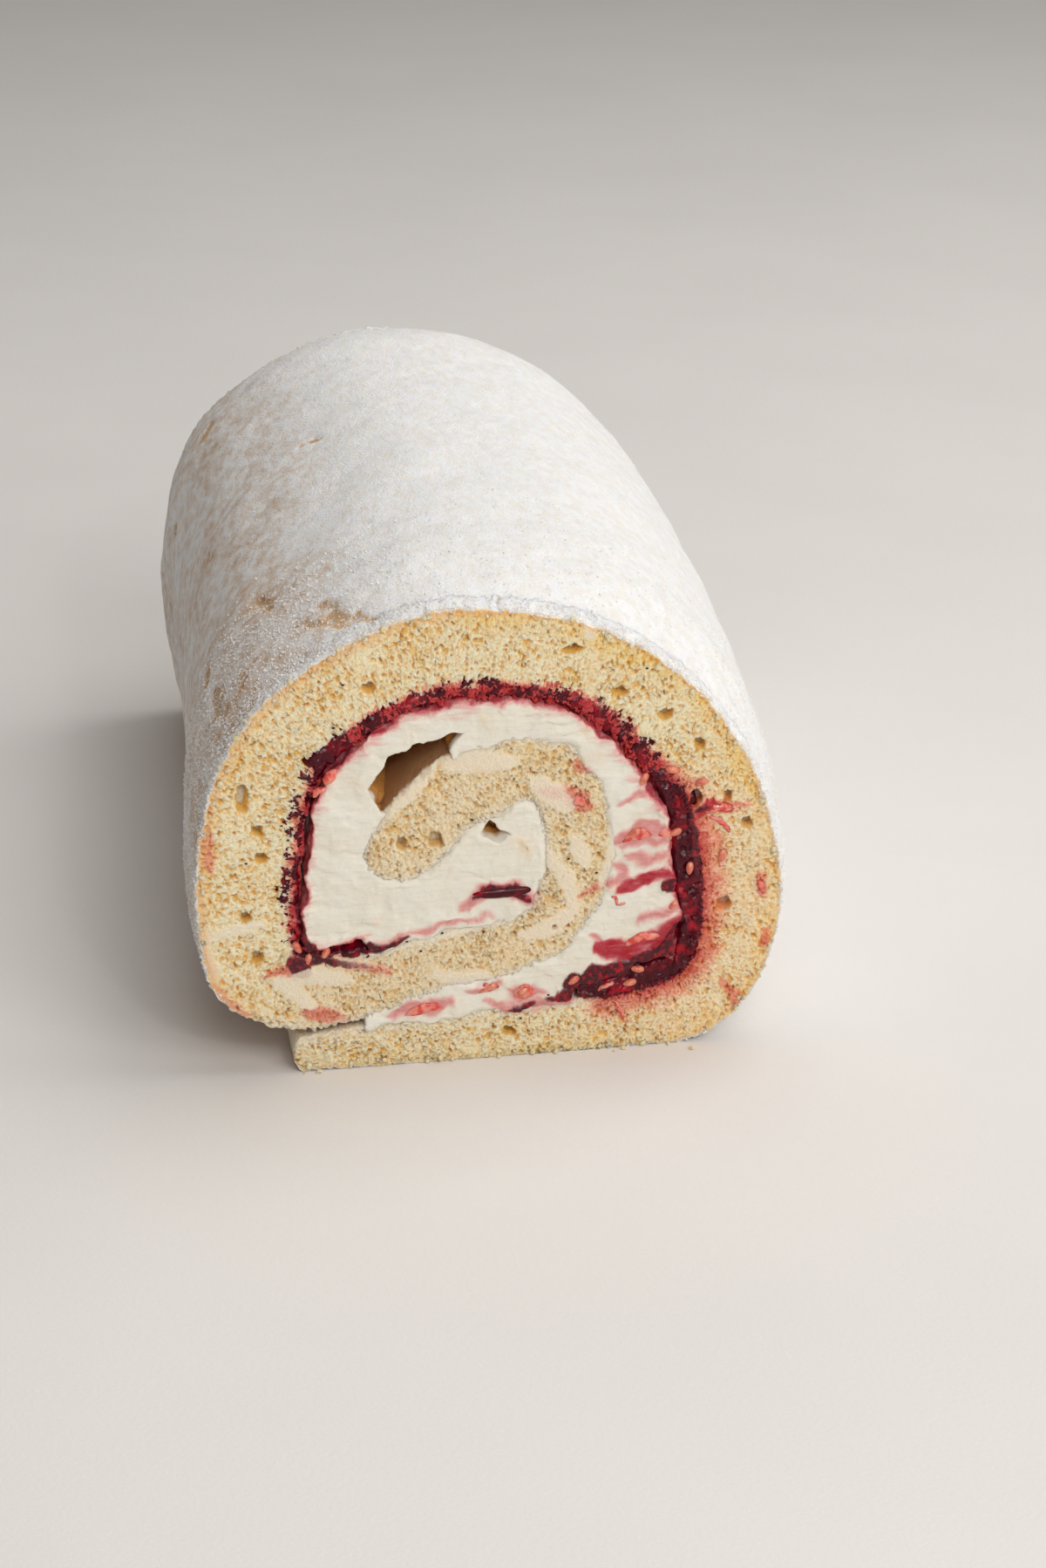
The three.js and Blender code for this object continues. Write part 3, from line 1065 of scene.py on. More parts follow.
def jam_in_crumb(tree, place):
    """How much the crumb is tinted with thin jam, and how much thick jam covers it."""
    to_filling, along = tree.stored("to_filling"), tree.stored("along")
    near = beside_jam(tree, along)
    left, top = tree.ease(along, *LEFT), tree.ease(along, *TOP)
    least = tree.less(-1.0, left)
    reach = tree.less(tree.ease(along, *TOP, 6.0, 0.8), tree.times(left, 0.9))
    fibres = tree.noise(tree.vector("MULTIPLY", place, (0.4, 1, 1)), 1.5, 4, 0.7)
    blots, dabs = tree.noise(place, 2.8, 4, 0.7), tree.noise(place, 1.6, 3, 0.6)
    stain = tree.total(to_filling, tree.swing(blots, 4.0), tree.swing(fibres, 4.0))
    fade = {"Value": stain, 1: least, 2: reach, 3: 0.95, 4: 0.0}
    stain = tree.add("ShaderNodeMapRange", fade).outputs[0]
    soak = tree.total(to_filling, tree.swing(dabs, 1.7), tree.swing(fibres, 0.9))
    edge = tree.less(tree.ease(along, *TOP, 0.9, -0.7), left)
    soak = tree.ease(tree.less(soak, edge), -0.6, 0.5, 1, 0)
    pockets = tree.total(tree.noise(place, 1.5, 4, 0.6), tree.swing(tree.noise(place, 8.0, 2), 0.5))
    pockets = tree.total(pockets, tree.times(left, 0.06))
    stain = tree.most(stain, tree.times(soak, tree.ease(pockets, 0.4, 0.56, 0.72, 0.08)))
    soak = tree.times(soak, tree.rest(tree.times(tree.ease(pockets, 0.3, 0.54), top)))
    thin = tree.most(tree.times(stain, near), tree.stored("thin_jam"))
    thick = tree.most(tree.times(soak, near), tree.stored("thick_jam"))
    return thin, thick


def cream_on_crumb(tree, place):
    """How much cream is dragged over the crumb, and rubbed into its edges."""
    along = tree.stored("along")
    wisps = tree.noise(tree.vector("MULTIPLY", place, (0.4, 1, 1)), 0.9, 4, 0.65)
    dragged = tree.stored("dragged_cream")
    dragged = tree.ease(tree.total(dragged, tree.times(tree.swing(wisps, 1.6), dragged)), 0.25, 0.7)
    uneven = tree.swing(tree.noise(place, 3.0, 4, 0.65), 6.0)
    from_inside = tree.ease(tree.total(tree.stored("from_skin"), uneven), 0.0, 2.4, 0.8, 0)
    from_filling = tree.ease(tree.total(tree.stored("to_filling"), uneven), 0.0, 2.4, 0.8, 0)
    inner_turn = tree.ease(along, EXPOSED_TO / MM - 2, EXPOSED_TO / MM + 6)
    without_jam = tree.rest(beside_jam(tree, along))
    rubbed = tree.most(tree.times(from_inside, inner_turn), tree.times(from_filling, without_jam))
    return tree.times(tree.most(dragged, rubbed), 0.75)


def skin_look(tree, place, under, crumb):
    """The baked rim and the browned skin over a colour, and how much icing sugar covers them."""
    from_skin, along, behind, bare = (
        tree.stored(name) for name in ("from_skin", "along", "behind", "bare")
    )
    rim = tree.total(from_skin, tree.swing(tree.noise(place, 1.8, 3), 1.0))
    outer_turn = tree.ease(along, EXPOSED_TO / MM - 4, EXPOSED_TO / MM + 6, 1, 0)
    rim_width = tree.ease(along, 140, 180, 1.1, 2.8)
    baked = tree.times(tree.ease(rim, 0.0, rim_width, 0.85, 0), outer_turn)
    look = tree.mix(baked, under, tuple(crumb.crust))
    outside = tree.times(tree.stored("side"), tree.ease(from_skin, 0.3, 0.8, 1, 0))
    browned = tree.mix(tree.noise(place, 3.0, 4, 0.65), tuple(crumb.browned), tuple(crumb.skin))
    look = tree.mix(outside, look, browned)
    look = tree.mix(tree.times(bare, outside), look, tuple(crumb.creased))

    cover = tree.ease(along, 166, 190, 1.0, tree.ease(behind, 15, 60, 0.34, 0.52))
    cover = tree.most(cover, tree.ease(behind, 0.5, 3.2, 0.95, 0))
    cover = tree.times(cover, tree.ease(along, 12, 60, 0.3, 1))
    patches = tree.ease(tree.noise(place, 1.6, 3, 0.6), 0.35, 0.65, 0.3, 1.2)
    cover = tree.less(cover, tree.times(bare, patches))
    spilled = tree.times(tree.ease(rim, -0.1, 0.35, 0.75, 0), outer_turn)
    spilled = tree.times(spilled, tree.rest(outside))
    cover = tree.most(tree.times(cover, tree.times(outside, outer_turn)), spilled)
    return look, tree.less(cover, tree.ease(cover, 0.0, 0.15, 1.5, 0))


def sponge_material(scene, sugar_nodes, smear_nodes):
    """Crumb on the cuts, baked and sugared skin on the outside, told apart by the stored distances."""
    crumb = scene.cake_crumb
    material, tree, shader, place = new_material(
        "Sponge",
        Specular_IOR_Level=0.3,
        Subsurface_Weight=0.8,
        Subsurface_Radius=(1.0, 0.88, 0.66),
        Subsurface_Scale=0.0015,
        Coat_Roughness=0.12,
    )
    look, relief = crumb_look(tree, place, crumb)
    thin, thick = jam_in_crumb(tree, place)
    smear = tree.placed(smear_nodes, Place=place, Under=look, Thin=thin, Thick=thick)
    creamy = cream_on_crumb(tree, place)
    wet = tree.times(smear["Wet"], tree.rest(creamy))
    look = tree.mix(creamy, smear["Color"], tuple(scene.cake_cream.smeared))
    look, cover = skin_look(tree, place, look, crumb)
    sugar = tree.placed(sugar_nodes, Place=place, Under=look, Cover=cover)
    relief = tree.times(relief, tree.ease(cover, 0, 0.3, 1, 0))
    powdery = tree.times(sugar["Height"], tree.ease(cover, 0, 0.3))
    tree.fill(shader.inputs["Base Color"], sugar["Color"])
    tree.fill(shader.inputs["Roughness"], tree.ease(tree.most(wet, creamy), 0, 1, 0.9, 0.3))
    tree.fill(shader.inputs["Coat Weight"], tree.times(wet, 0.3))
    bumped(tree, shader, tree.total(relief, powdery), 0.0004, 0.6)
    return material


def cream_material(scene, smear_nodes):
    """Off-white whipped cream with a soft sheen, tinted where jam touches it."""
    cream = scene.cake_cream
    material, tree, shader, place = new_material(
        "Whipped cream",
        Specular_IOR_Level=0.3,
        Subsurface_Weight=0.5,
        Subsurface_Radius=(1.0, 0.93, 0.82),
        Subsurface_Scale=0.0006,
        Coat_Roughness=0.2,
    )
    tinted = tree.mix(tree.noise(place, 5.0, 3), tuple(cream.light), tuple(cream.rich))
    tinted = tree.mix(tree.ease(tree.noise(place, 6.0, 2), 0.6, 0.8, 0, 0.6), tinted, tuple(cream.warm))
    # The lining of the hollows: a darker and a paler golden-brown, mixed by a noise.
    lining = tree.mix(tree.noise(place, 3.0, 3, 0.6), tuple(cream.dark_lining), tuple(cream.lining))
    tinted = tree.mix(tree.stored("lining"), tinted, lining)
    near = tree.total(tree.stored("to_jam"), tree.swing(tree.noise(place, 2.2, 4, 0.65), 1.6))
    bleed = tree.ease(near, -0.3, 1.1, 0.85, 0)
    wisp = tree.noise(tree.vector("MULTIPLY", place, (0.2, 1, 1)), 1.6, 4, 0.65)
    haze = tree.ease(tree.total(tree.stored("to_jam"), tree.swing(wisp, 12.0)), -1.5, 3.0, 0.35, 0)
    thin = tree.most(tree.most(bleed, haze), tree.stored("thin_jam"))
    thick = tree.stored("thick_jam")
    smear = tree.placed(smear_nodes, Place=place, Under=tinted, Thin=thin, Thick=thick)
    tree.fill(shader.inputs["Base Color"], smear["Color"])
    tree.fill(shader.inputs["Roughness"], tree.ease(smear["Wet"], 0, 1, 0.45, 0.25))
    tree.fill(shader.inputs["Coat Weight"], tree.ease(smear["Wet"], 0, 1, 0.05, 0.12))
    lines = tree.vector("MULTIPLY", place, (0.14, 1, 1))
    height = tree.total(tree.noise(lines, 0.9, 2, 0.5), tree.times(tree.noise(place, 1.2, 2), 0.8))
    bumped(tree, shader, height, 0.00035, 0.7)
    return material


def jam_material(scene):
    """Dark red, glossy jam, mottled with brighter red by a noise."""
    jam = scene.cake_jam
    material, tree, shader, place = new_material(
        "Raspberry jam",
        Roughness=0.14,
        Specular_IOR_Level=0.12,
        Subsurface_Weight=0.3,
        Subsurface_Radius=(1.0, 0.15, 0.15),
        Subsurface_Scale=0.001,
        Coat_Weight=0.22,
        Coat_Roughness=0.05,
    )
    mottle = tree.ease(tree.noise(place, 3.2, 3, 0.55), 0.46, 0.8)
    tree.fill(shader.inputs["Base Color"], tree.mix(mottle, tuple(jam.dark), tuple(jam.bright)))
    bumped(tree, shader, tree.noise(place, 1.0, 2, 0.5), 0.0004, 0.6)
    return material


# ---------------------------------------------------------------- sponge


def end_taper(along):
    """How thick the sheet still is near its two ends, where its edges are rounded."""
    flap = np.clip(along / (1.5 * MM), 0, 1)
    tip = np.clip((SHEET.length - along) / (5 * MM), 0, 1)
    flap, tip = np.sqrt(1 - (1 - flap) ** 2), np.sqrt(1 - (1 - tip) ** 2)
    return np.maximum(flap, 0.35) * np.maximum(tip, 0.15)


def sponge_half(along):
    return SHEET.half(along) * end_taper(along)


def jam_share(along):
    """1 where the sheet has jam, and 0 where it has none."""
    return smooth(*JAM_STARTS, along / MM) * (1 - smooth(*JAM_ENDS, along / MM))


def crumbs_over_jam(along):
    """How far torn crumbs reach over the jam at a cut. At the top and left they hide all of it."""
    top = smooth(106 * MM, 120 * MM, along)
    right = 0.15 + 0.3 * ragged(along, 4 * MM, 1)
    left = smooth(182 * MM, 200 * MM, along)
    more = 0.4 + 0.9 * ragged(along, 3 * MM, 5) - 0.3 * left
    pocket = smooth(184 * MM, 188 * MM, along) * (1 - smooth(193 * MM, 197 * MM, along))
    reach = SHEET.jam(along) * (right + (1.1 - right) * top) + more * top * MM
    return jam_share(along) * reach * (1 - 0.7 * pocket)


def skin_side(along):
    """The offset of the baked skin from the middle line."""
    return -sponge_half(along)


def torn_side(along):
    """The offset of a cut's edge beside the fillings, with the crumbs that reach over the jam."""
    return sponge_half(along) + crumbs_over_jam(along)


def torn_edges(along, from_skin, thickness):
    """How deep the crumb is torn away beside the fillings, in mm."""
    jam = jam_share(along)
    inside = smooth(EXPOSED_TO - 4 * MM, EXPOSED_TO + 4 * MM, along)
    left = thickness + crumbs_over_jam(along) - from_skin
    beside_jam = 1.6 * (1 - smooth(0, 1.6 * MM, left))
    beside_cream = 0.9 * (1 - smooth(0, 0.8 * MM, left))
    inner = 0.9 * (1 - smooth(0, 0.8 * MM, from_skin)) * inside
    return np.maximum(jam * beside_jam + (1 - jam) * beside_cream, inner)


def remember_sponge(piece, along, from_skin, thickness):
    """Keeps where in the sheet each vertex lies, in mm, and which way is out of its skin."""
    store(piece, "along", along / MM)
    store(piece, "from_skin", from_skin / MM)
    store(piece, "to_filling", (thickness - from_skin) / MM)
    out = -SHEET.to_filling(along) * np.exp(-from_skin / (3 * MM))[:, None]
    store(piece, "outward", np.stack([out[:, 0], np.zeros(len(out)), out[:, 1]], -1))


def remember_creases(piece, roll):
    """Keeps how bare each vertex of the skin is, and how near a rim and far behind the front it is."""
    y = coordinates(piece)[:, 1] / MM
    behind = roll.length / 2 / MM + y
    store(piece, "behind", behind)
    store(piece, "rim", np.exp(-(roll.length / 2 / MM - np.abs(y)) / 3))
    on_skin = np.exp(-recall(piece, "from_skin"))
    store(piece, "bare", creased(recall(piece, "along"), behind) * on_skin)


SEAM = 3.8 * MM  # behind a cut, where the skin of the slab hands over to that of the body
SEAM_REACH = 1.5 * MM
TUCK = 0.15 * MM
SHEET_ROWS_OVER = 12 * MM  # the thickness of sheet that the rows of a cut are counted over
ROWS_BEHIND = 6  # of cells, from a cut back to the end of its slab
HIDDEN_COLUMNS = 60  # of the body's cells, on skin that is rolled in
FILLING_COLUMNS = 120  # of the body's cells, on the side of the fillings
RINGS = 175  # of the body's cells
RINGS_CROWD = 0.38  # share of the body's length that crowds towards the front cut
CROWD_POWER = 2.2


def tuck_under(piece, side, roll):
    """Sinks the skin a little on one side of the seam, where the other piece lies over it."""
    points = coordinates(piece)
    past = side * (roll.length / 2 - np.abs(points[:, 1]) - SEAM)
    outward = np.empty(len(points) * 3, np.float32)
    piece.data.attributes["outward"].data.foreach_get("vector", outward)
    move_to(piece, points - outward.reshape(-1, 3) * (TUCK * smooth(0, SEAM_REACH, past))[:, None])


def sponge_cut(name, end, crumb_nodes, skin_nodes, scene):
    """The slab behind a cut, with its open crumb."""
    crumb, roll = scene.cake_crumb, scene.cake_roll
    rows = round(SHEET_ROWS_OVER / crumb.spacing)
    whole = (0, SHEET.length)
    piece, along, across = rolled_grid(name, end, whole, crumb.spacing, skin_side, torn_side, rows)
    thickness = 2 * sponge_half(along)
    from_skin = across * (thickness + crumbs_over_jam(along))
    remember_sponge(piece, along, from_skin, thickness)
    store(piece, "side", np.zeros(len(along)))
    torn = torn_edges(along, from_skin, thickness)
    store(piece, "torn", torn)
    thick, cream = smear_cut(piece, end, pores=True)
    inside = smooth(EXPOSED_TO - 4 * MM, EXPOSED_TO + 4 * MM, along)
    porous = np.maximum(smooth(0.05 * MM, 0.6 * MM, from_skin), inside)
    covered = np.maximum(0.8 * thick, 0.5 * cream)
    beside_cream = (1 - jam_share(along)) * smooth(0.3, 1.0, torn)
    store(piece, "open", porous * (1 - covered) * (1 - 0.25 * beside_cream))
    inputs = {"Outwards": float(end), "Half length": roll.length / 2 / MM}
    shape_by(piece, crumb_nodes, **inputs)
    extrude_back(piece, end * (roll.length / 2 - crumb.depth), ROWS_BEHIND)
    remember_creases(piece, roll)
    shape_by(piece, skin_nodes)
    tuck_under(piece, 1, roll)
    return piece


def sponge_body(name, skin_nodes, scene):
    """The sheet between the two cuts, with fine cells on the skin that shows."""
    crumb, roll = scene.cake_crumb, scene.cake_roll
    shown = np.linspace(0, EXPOSED_TO, round(EXPOSED_TO / crumb.skin_spacing))
    hidden = np.linspace(EXPOSED_TO, SHEET.length, HIDDEN_COLUMNS)[1:]
    skin = np.concatenate([shown, hidden])
    filling = np.linspace(SHEET.length, 0, FILLING_COLUMNS)
    along = np.concatenate([skin, filling])
    half = sponge_half(along)
    is_skin = np.arange(len(along)) < len(skin)
    spot = SHEET.place(along, np.where(is_skin, -half, half))

    bpy.ops.mesh.primitive_circle_add(vertices=len(along), fill_type="NOTHING")
    piece = just_added(name)
    start = -roll.length / 2 + SEAM - SEAM_REACH
    run = roll.length - 2 * (SEAM - SEAM_REACH)
    move_to(piece, np.stack([spot[:, 0], np.full(len(spot), start), spot[:, 1]], -1))
    screw = piece.modifiers.new("run", "SCREW")
    screw.axis = "Y"
    screw.angle = 0
    screw.screw_offset = run
    screw.steps = screw.render_steps = RINGS
    apply_all(piece)
    points = coordinates(piece)
    share_back = (points[:, 1] - start) / run
    crowded = (1 - RINGS_CROWD) * share_back + RINGS_CROWD * share_back**CROWD_POWER
    points[:, 1] = start + run * crowded
    move_to(piece, points)

    rings = len(points) // len(along)
    along, from_skin = np.tile(along, rings), np.tile(np.where(is_skin, 0, 2 * half), rings)
    remember_sponge(piece, along, from_skin, 2 * sponge_half(along))
    store(piece, "side", np.ones(len(points)))
    store(piece, "sunk", np.zeros(len(points)))
    select_border(piece)
    bpy.ops.mesh.edge_face_add()
    face_outwards()
    remember_creases(piece, roll)
    shape_by(piece, skin_nodes)
    tuck_under(piece, -1, roll)
    return piece


class CAKE_OT_sponge(Operator):
    """Make the rolled sponge: two cuts with open crumb, and the sugared body between them"""

    bl_idname = "cake.sponge"
    bl_label = "Sponge"

    def execute(self, context):
        scene = context.scene
        crumb_nodes = crumb_group()
        skin_nodes = skin_group()
        material = sponge_material(scene, sugar_group(scene.cake_sugar), smear_group(scene.cake_jam))
        front = sponge_cut("sponge_front", FRONT, crumb_nodes, skin_nodes, scene)
        back = sponge_cut("sponge_back", BACK, crumb_nodes, skin_nodes, scene)
        body = sponge_body("sponge_body", skin_nodes, scene)
        for piece in (front, back, body):
            settle(piece)
        dress(front, material, "sponge")
        dress(back, material, "sponge")
        dress(body, material, "sponge", "sponge")
        return {"FINISHED"}


# ---------------------------------------------------------------- grains of sugar


ON_RIM, ON_LEFT, ON_BODY = 12.0, 9.0, 0.8  # grains on a square millimetre of skin
SMALLEST_GRAIN, LARGEST_GRAIN = 0.1, 0.34  # mm
SUGAR_FROM = 40  # mm along the sheet, where the skin no longer faces down


def strewn_group():
    """Strews small grains over the faces of a piece, as many to a square millimetre as it stores."""
    group, tree, given, made = geometry_group("Strewn grains", "Smallest", "Largest")
    patches = tree.ease(tree.noise(tree.place_in_mm(), 2.6, 4, 0.65), 0.36, 0.62)
    density = tree.times(tree.times(tree.kept("strewn"), patches), 1 / MM**2)
    spread = {"Mesh": given["Geometry"], "Density": density, "Seed": 4}
    points = tree.add("GeometryNodeDistributePointsOnFaces", spread)
    pyramid = {"Vertices": 3, "Radius Top": 0, "Radius Bottom": MM, "Depth": 1.5 * MM}
    grain = tree.add("GeometryNodeMeshCone", pyramid)
    drawn = {2: 0.0, 3: 1.0, "Seed": 1}
    chance = tree.add("FunctionNodeRandomValue", drawn, data_type="FLOAT").outputs[1]
    span = tree.less(given["Largest"], given["Smallest"])
    size = tree.total(given["Smallest"], tree.times(span, tree.math("POWER", chance, 2.2)))
    stretches = {0: (0.7, 0.7, 0.6), 1: (1.35, 1.35, 1.1), "Seed": 2}
    uneven = tree.add("FunctionNodeRandomValue", stretches, data_type="FLOAT_VECTOR")
    turns = {0: (0, 0, 0), 1: (6.3, 6.3, 6.3), "Seed": 3}
    turn = tree.add("FunctionNodeRandomValue", turns, data_type="FLOAT_VECTOR")
    placed = tree.add(
        "GeometryNodeInstanceOnPoints",
        {
            "Points": points.outputs["Points"],
            "Instance": grain.outputs["Mesh"],
            "Rotation": turn.outputs[0],
            "Scale": tree.scaled(uneven.outputs[0], size),
        },
    )
    real = tree.add("GeometryNodeRealizeInstances", {"Geometry": placed.outputs[0]})
    tree.fill(made["Geometry"], real.outputs[0])
    return group


def copy_of(piece):
    """A loose copy of a piece, with a mesh of its own."""
    select_only(piece)
    bpy.ops.object.duplicate(linked=False)
    return bpy.context.object


def strewn_sugar(name, pieces):
    """Grains on the skin: thick along the front rim, coarse on the left, few on top."""
    sources = []
    for piece in pieces:
        source = copy_of(piece)
        along, behind = recall(source, "along"), recall(source, "behind")
        outside = (along < EXPOSED_TO / MM) & (along > SUGAR_FROM)
        skin = (recall(source, "from_skin") < 0.3) & outside
        rim = ON_RIM * (1 - smooth(0.8, 4.5, behind))
        left = ON_LEFT * smooth(160, 186, along) * (1 - smooth(14, 55, behind))
        body = ON_BODY * (1 - smooth(20, 60, behind))
        store(source, "strewn", skin * (rim + left + body))
        sources.append(source)
    grains = join_as(name, sources)
    shape_by(grains, strewn_group(), Smallest=SMALLEST_GRAIN, Largest=LARGEST_GRAIN)
    return grains


def powder_material(sugar):
    """Clumps of icing sugar."""
    material, tree, shader, place = new_material(
        "Icing sugar",
        Roughness=0.95,
        Specular_IOR_Level=0.2,
        Subsurface_Weight=0.4,
        Subsurface_Radius=(1.0, 1.0, 1.0),
        Subsurface_Scale=0.0006,
    )
    shade = tree.mix(tree.noise(place, 2.0, 3), tone(234, 228, 222), tuple(sugar.powder))
    tree.fill(shader.inputs["Base Color"], shade)
    bumped(tree, shader, tree.noise(place, 0.2, 3, 0.7), 0.0001, 0.8)
    return material


class CAKE_OT_sugar(Operator):
    """Strew the coarser grains of icing sugar over the skin"""

    bl_idname = "cake.sugar"
    bl_label = "Grains of sugar"

    def execute(self, context):
        scene = context.scene
        sources = [bpy.data.objects[name] for name in ("sponge_front", "sponge_body")]
        grains = strewn_sugar("icing_sugar", sources)
        dress(grains, powder_material(scene.cake_sugar), "icing_sugar")
        return {"FINISHED"}


# ---------------------------------------------------------------- cream


CREAM_OVERLAP = 2.0 * MM  # how far the cream reaches into the pores of the sponge
LEAST_HALF = 0.4 * MM  # of the sponge that is cut out of the cream
CREAM_CORNERS = 180  # of the outline that the cream is cut from
CUT_OUT_SPACING = 1.5 * MM  # between two corners of what is cut out of it
CUT_OUT_OVER = 1 * MM
BODY_LAP = 0.5 * MM  # how far the plain run of cream reaches into each slab
BODY_VOXEL = 1.4 * MM
FAR = 50  # mm, for what no jam is near


def jam_edge(along):
    """How far the jam reaches towards the cream, a little unevenly."""
    wide = 1 - smooth(104 * MM, 118 * MM, along)
    thin = 1.1 + 0.3 * ragged(along, 5 * MM, 2) + 0.25 * smooth(182 * MM, 196 * MM, along)
    return SHEET.half(along) + SHEET.jam(along) * (thin + (1.0 - thin) * wide) + 0.3 * MM * (1 - wide)


def inside_hollows(piece, scene):
    """1 at the vertices that line a hollow, where the cream takes a golden-brown like the crumb's baked
    skin, and 0 elsewhere.
    """
    x, y, z = coordinates(piece).T / MM
    behind = y + scene.cake_roll.length / 2 / MM
    lined = np.zeros(len(x))
    for depth, _, outline in HOLLOWS:
        low, high = np.min(outline, 0) - 0.7, np.max(outline, 0) + 0.7
        beside = (x > low[0]) & (x < high[0]) & (z > low[1]) & (z < high[1])
        within = beside & (behind < depth + 1)
        lined = np.maximum(lined, within * smooth(0.9, 2.6, behind))
    return lined


def nearest_on(line, piece):
    """Which point of a line in the cut lies nearest to each vertex, and how far away, in mm."""
    tree = kdtree.KDTree(len(line))
    for number, (x, z) in enumerate(line / MM):
        tree.insert((x, 0, z), number)
    tree.balance()
    found = [tree.find((x, 0, z)) for x, _, z in coordinates(piece) / MM]
    return np.array([each[1] for each in found]), np.array([each[2] for each in found])


def distance_to_jam(piece):
    """How far each vertex lies from the edge of the jam, in mm."""
    along = np.linspace(*JAM_SPAN, 900)
    return nearest_on(SHEET.place(along, jam_edge(along)), piece)[1]


def depth_in_sponge(piece):
    """How far each vertex lies inside the outline of the sponge, in mm."""
    along = np.linspace(0, SHEET.length, 1500)
    number, distance = nearest_on(SHEET.look_up(SHEET.line, along), piece)
    return sponge_half(along[number]) / MM - distance


def hollow_plugs(scene):
    """Solids that cut the hollows, each narrowing towards its own middle with depth."""
    plugs = []
    start = -scene.cake_roll.length / 2 - 2 * MM
    for number, (depth, end_scale, outline) in enumerate(HOLLOWS):
        outline = np.array(outline) * MM
        plug = prism(f"plug_{number}", outline, start, -scene.cake_roll.length / 2 + depth * MM)
        points = coordinates(plug)
        inwards = np.clip((points[:, 1] - start) / (depth * MM), 0, 1)
        narrow = 1 - (1 - end_scale) * inwards**2
        for axis, middle in ((0, outline[:, 0].mean()), (2, outline[:, 1].mean())):
            points[:, axis] = middle + (points[:, axis] - middle) * narrow
        move_to(plug, points)
        plugs.append(plug)
    return plugs


def cream_block(name, y_from, y_to, scene, with_hollows):
    """All that the outer turn's middle line encloses, less the sponge, the jam and the hollows."""

    def thin(along):
        return np.maximum(sponge_half(along) - CREAM_OVERLAP, LEAST_HALF)

    def thin_skin_side(along):
        return -thin(along)

    def inside_sponge(along):
        return thin(along) - CUT_OUT_OVER

    corners = np.linspace(*CREAM_SPAN, CREAM_CORNERS)
    piece = prism(name, SHEET.look_up(SHEET.line, corners), y_from, y_to)
    whole = (0, SHEET.length - CREAM_OVERLAP)
    cut_outs = (
        SHEET.band(whole, thin_skin_side, thin, CUT_OUT_SPACING),
        SHEET.band(JAM_SPAN, inside_sponge, jam_edge, CUT_OUT_SPACING),
    )
    y_from, y_to = y_from - CUT_OUT_OVER, y_to + CUT_OUT_OVER
    cutters = [prism("cutter", outline, y_from, y_to) for outline in cut_outs]
    if with_hollows:
        cutters += hollow_plugs(scene)
    cut_away(piece, cutters)
    return piece


class CAKE_OT_cream(Operator):
    """Make the whipped cream: a detailed slab at each cut and the plain run between them"""

    bl_idname = "cake.cream"
    bl_label = "Cream"

    def execute(self, context):
        scene = context.scene
        cream, half = scene.cake_cream, scene.cake_roll.length / 2
        material = cream_material(scene, bpy.data.node_groups["Smeared jam"])
        nodes = cream_group()
        for name, end in (("cream_front", FRONT), ("cream_back", BACK)):
            y_cut, y_deep = end * half, end * (half - cream.depth)
            slab = cream_block(name, min(y_cut, y_deep), max(y_cut, y_deep), scene, end == FRONT)
            voxel_skin(slab, cream.voxel)
            smear_cut(slab, end)
            store(slab, "to_jam", distance_to_jam(slab))
            store(slab, "under", depth_in_sponge(slab))
            store(slab, "lining", inside_hollows(slab, scene))
            shape_by(slab, nodes, **{"Outwards": float(end), "Half length": half / MM})
            settle_and_dress(slab, material, "cream")
        inner = half - cream.depth + BODY_LAP
        body = cream_block("cream_body", -inner, inner, scene, True)
        voxel_skin(body, BODY_VOXEL)
        store(body, "to_jam", np.full(len(body.data.vertices), FAR))
        store(body, "lining", inside_hollows(body, scene))
        settle_and_dress(body, material, "cream", "cream")
        return {"FINISHED"}


# ---------------------------------------------------------------- jam


JAM_SOAK = 1.6 * MM  # how far the jam reaches into the pores of the sponge
JAM_LIP = 0.6 * MM  # how far it reaches over the edge of the cream
JAM_ROWS = 20  # of cells, across the band at a cut
JAM_RINGS = 24  # of cells, between the two cuts


def jam_low(along):
    """The offset of the jam's side in the sponge from the middle line."""
    return SHEET.half(along) - JAM_SOAK


def jam_high(along):
    """The offset of the jam's side in the cream from the middle line."""
    return SHEET.half(along) + SHEET.jam(along) + JAM_LIP


class CAKE_OT_jam(Operator):
    """Make the band of jam on the filling side of the outer turn"""

    bl_idname = "cake.jam"
    bl_label = "Jam"

    def execute(self, context):
        scene = context.scene
        jam, half = scene.cake_jam, scene.cake_roll.length / 2
        nodes = jam_group()
        ends = []
        for end in (FRONT, BACK):
            piece, along, across = rolled_grid(
                f"jam_end_{end}", end, JAM_SPAN, jam.spacing, jam_low, jam_high, JAM_ROWS
            )
            into_sponge = JAM_SOAK - across * (JAM_SOAK + SHEET.jam(along) + JAM_LIP)
            store(piece, "cut", np.ones(len(along)))
            recess = 0.25 + 0.9 * smooth(0, JAM_SOAK, into_sponge) + 0.8 * smooth(0.8, 1, across)
            store(piece, "recess", recess)
            shape_by(piece, nodes, Outwards=float(end))
            ends.append(piece)
        band = join_as("jam_band", ends)
        select_border(band)
        bpy.ops.mesh.bridge_edge_loops(number_cuts=JAM_RINGS)
        face_outwards()
        settle_and_dress(band, jam_material(scene), "jam", "jam")
        return {"FINISHED"}


# ---------------------------------------------------------------- seeds, specks and a streak


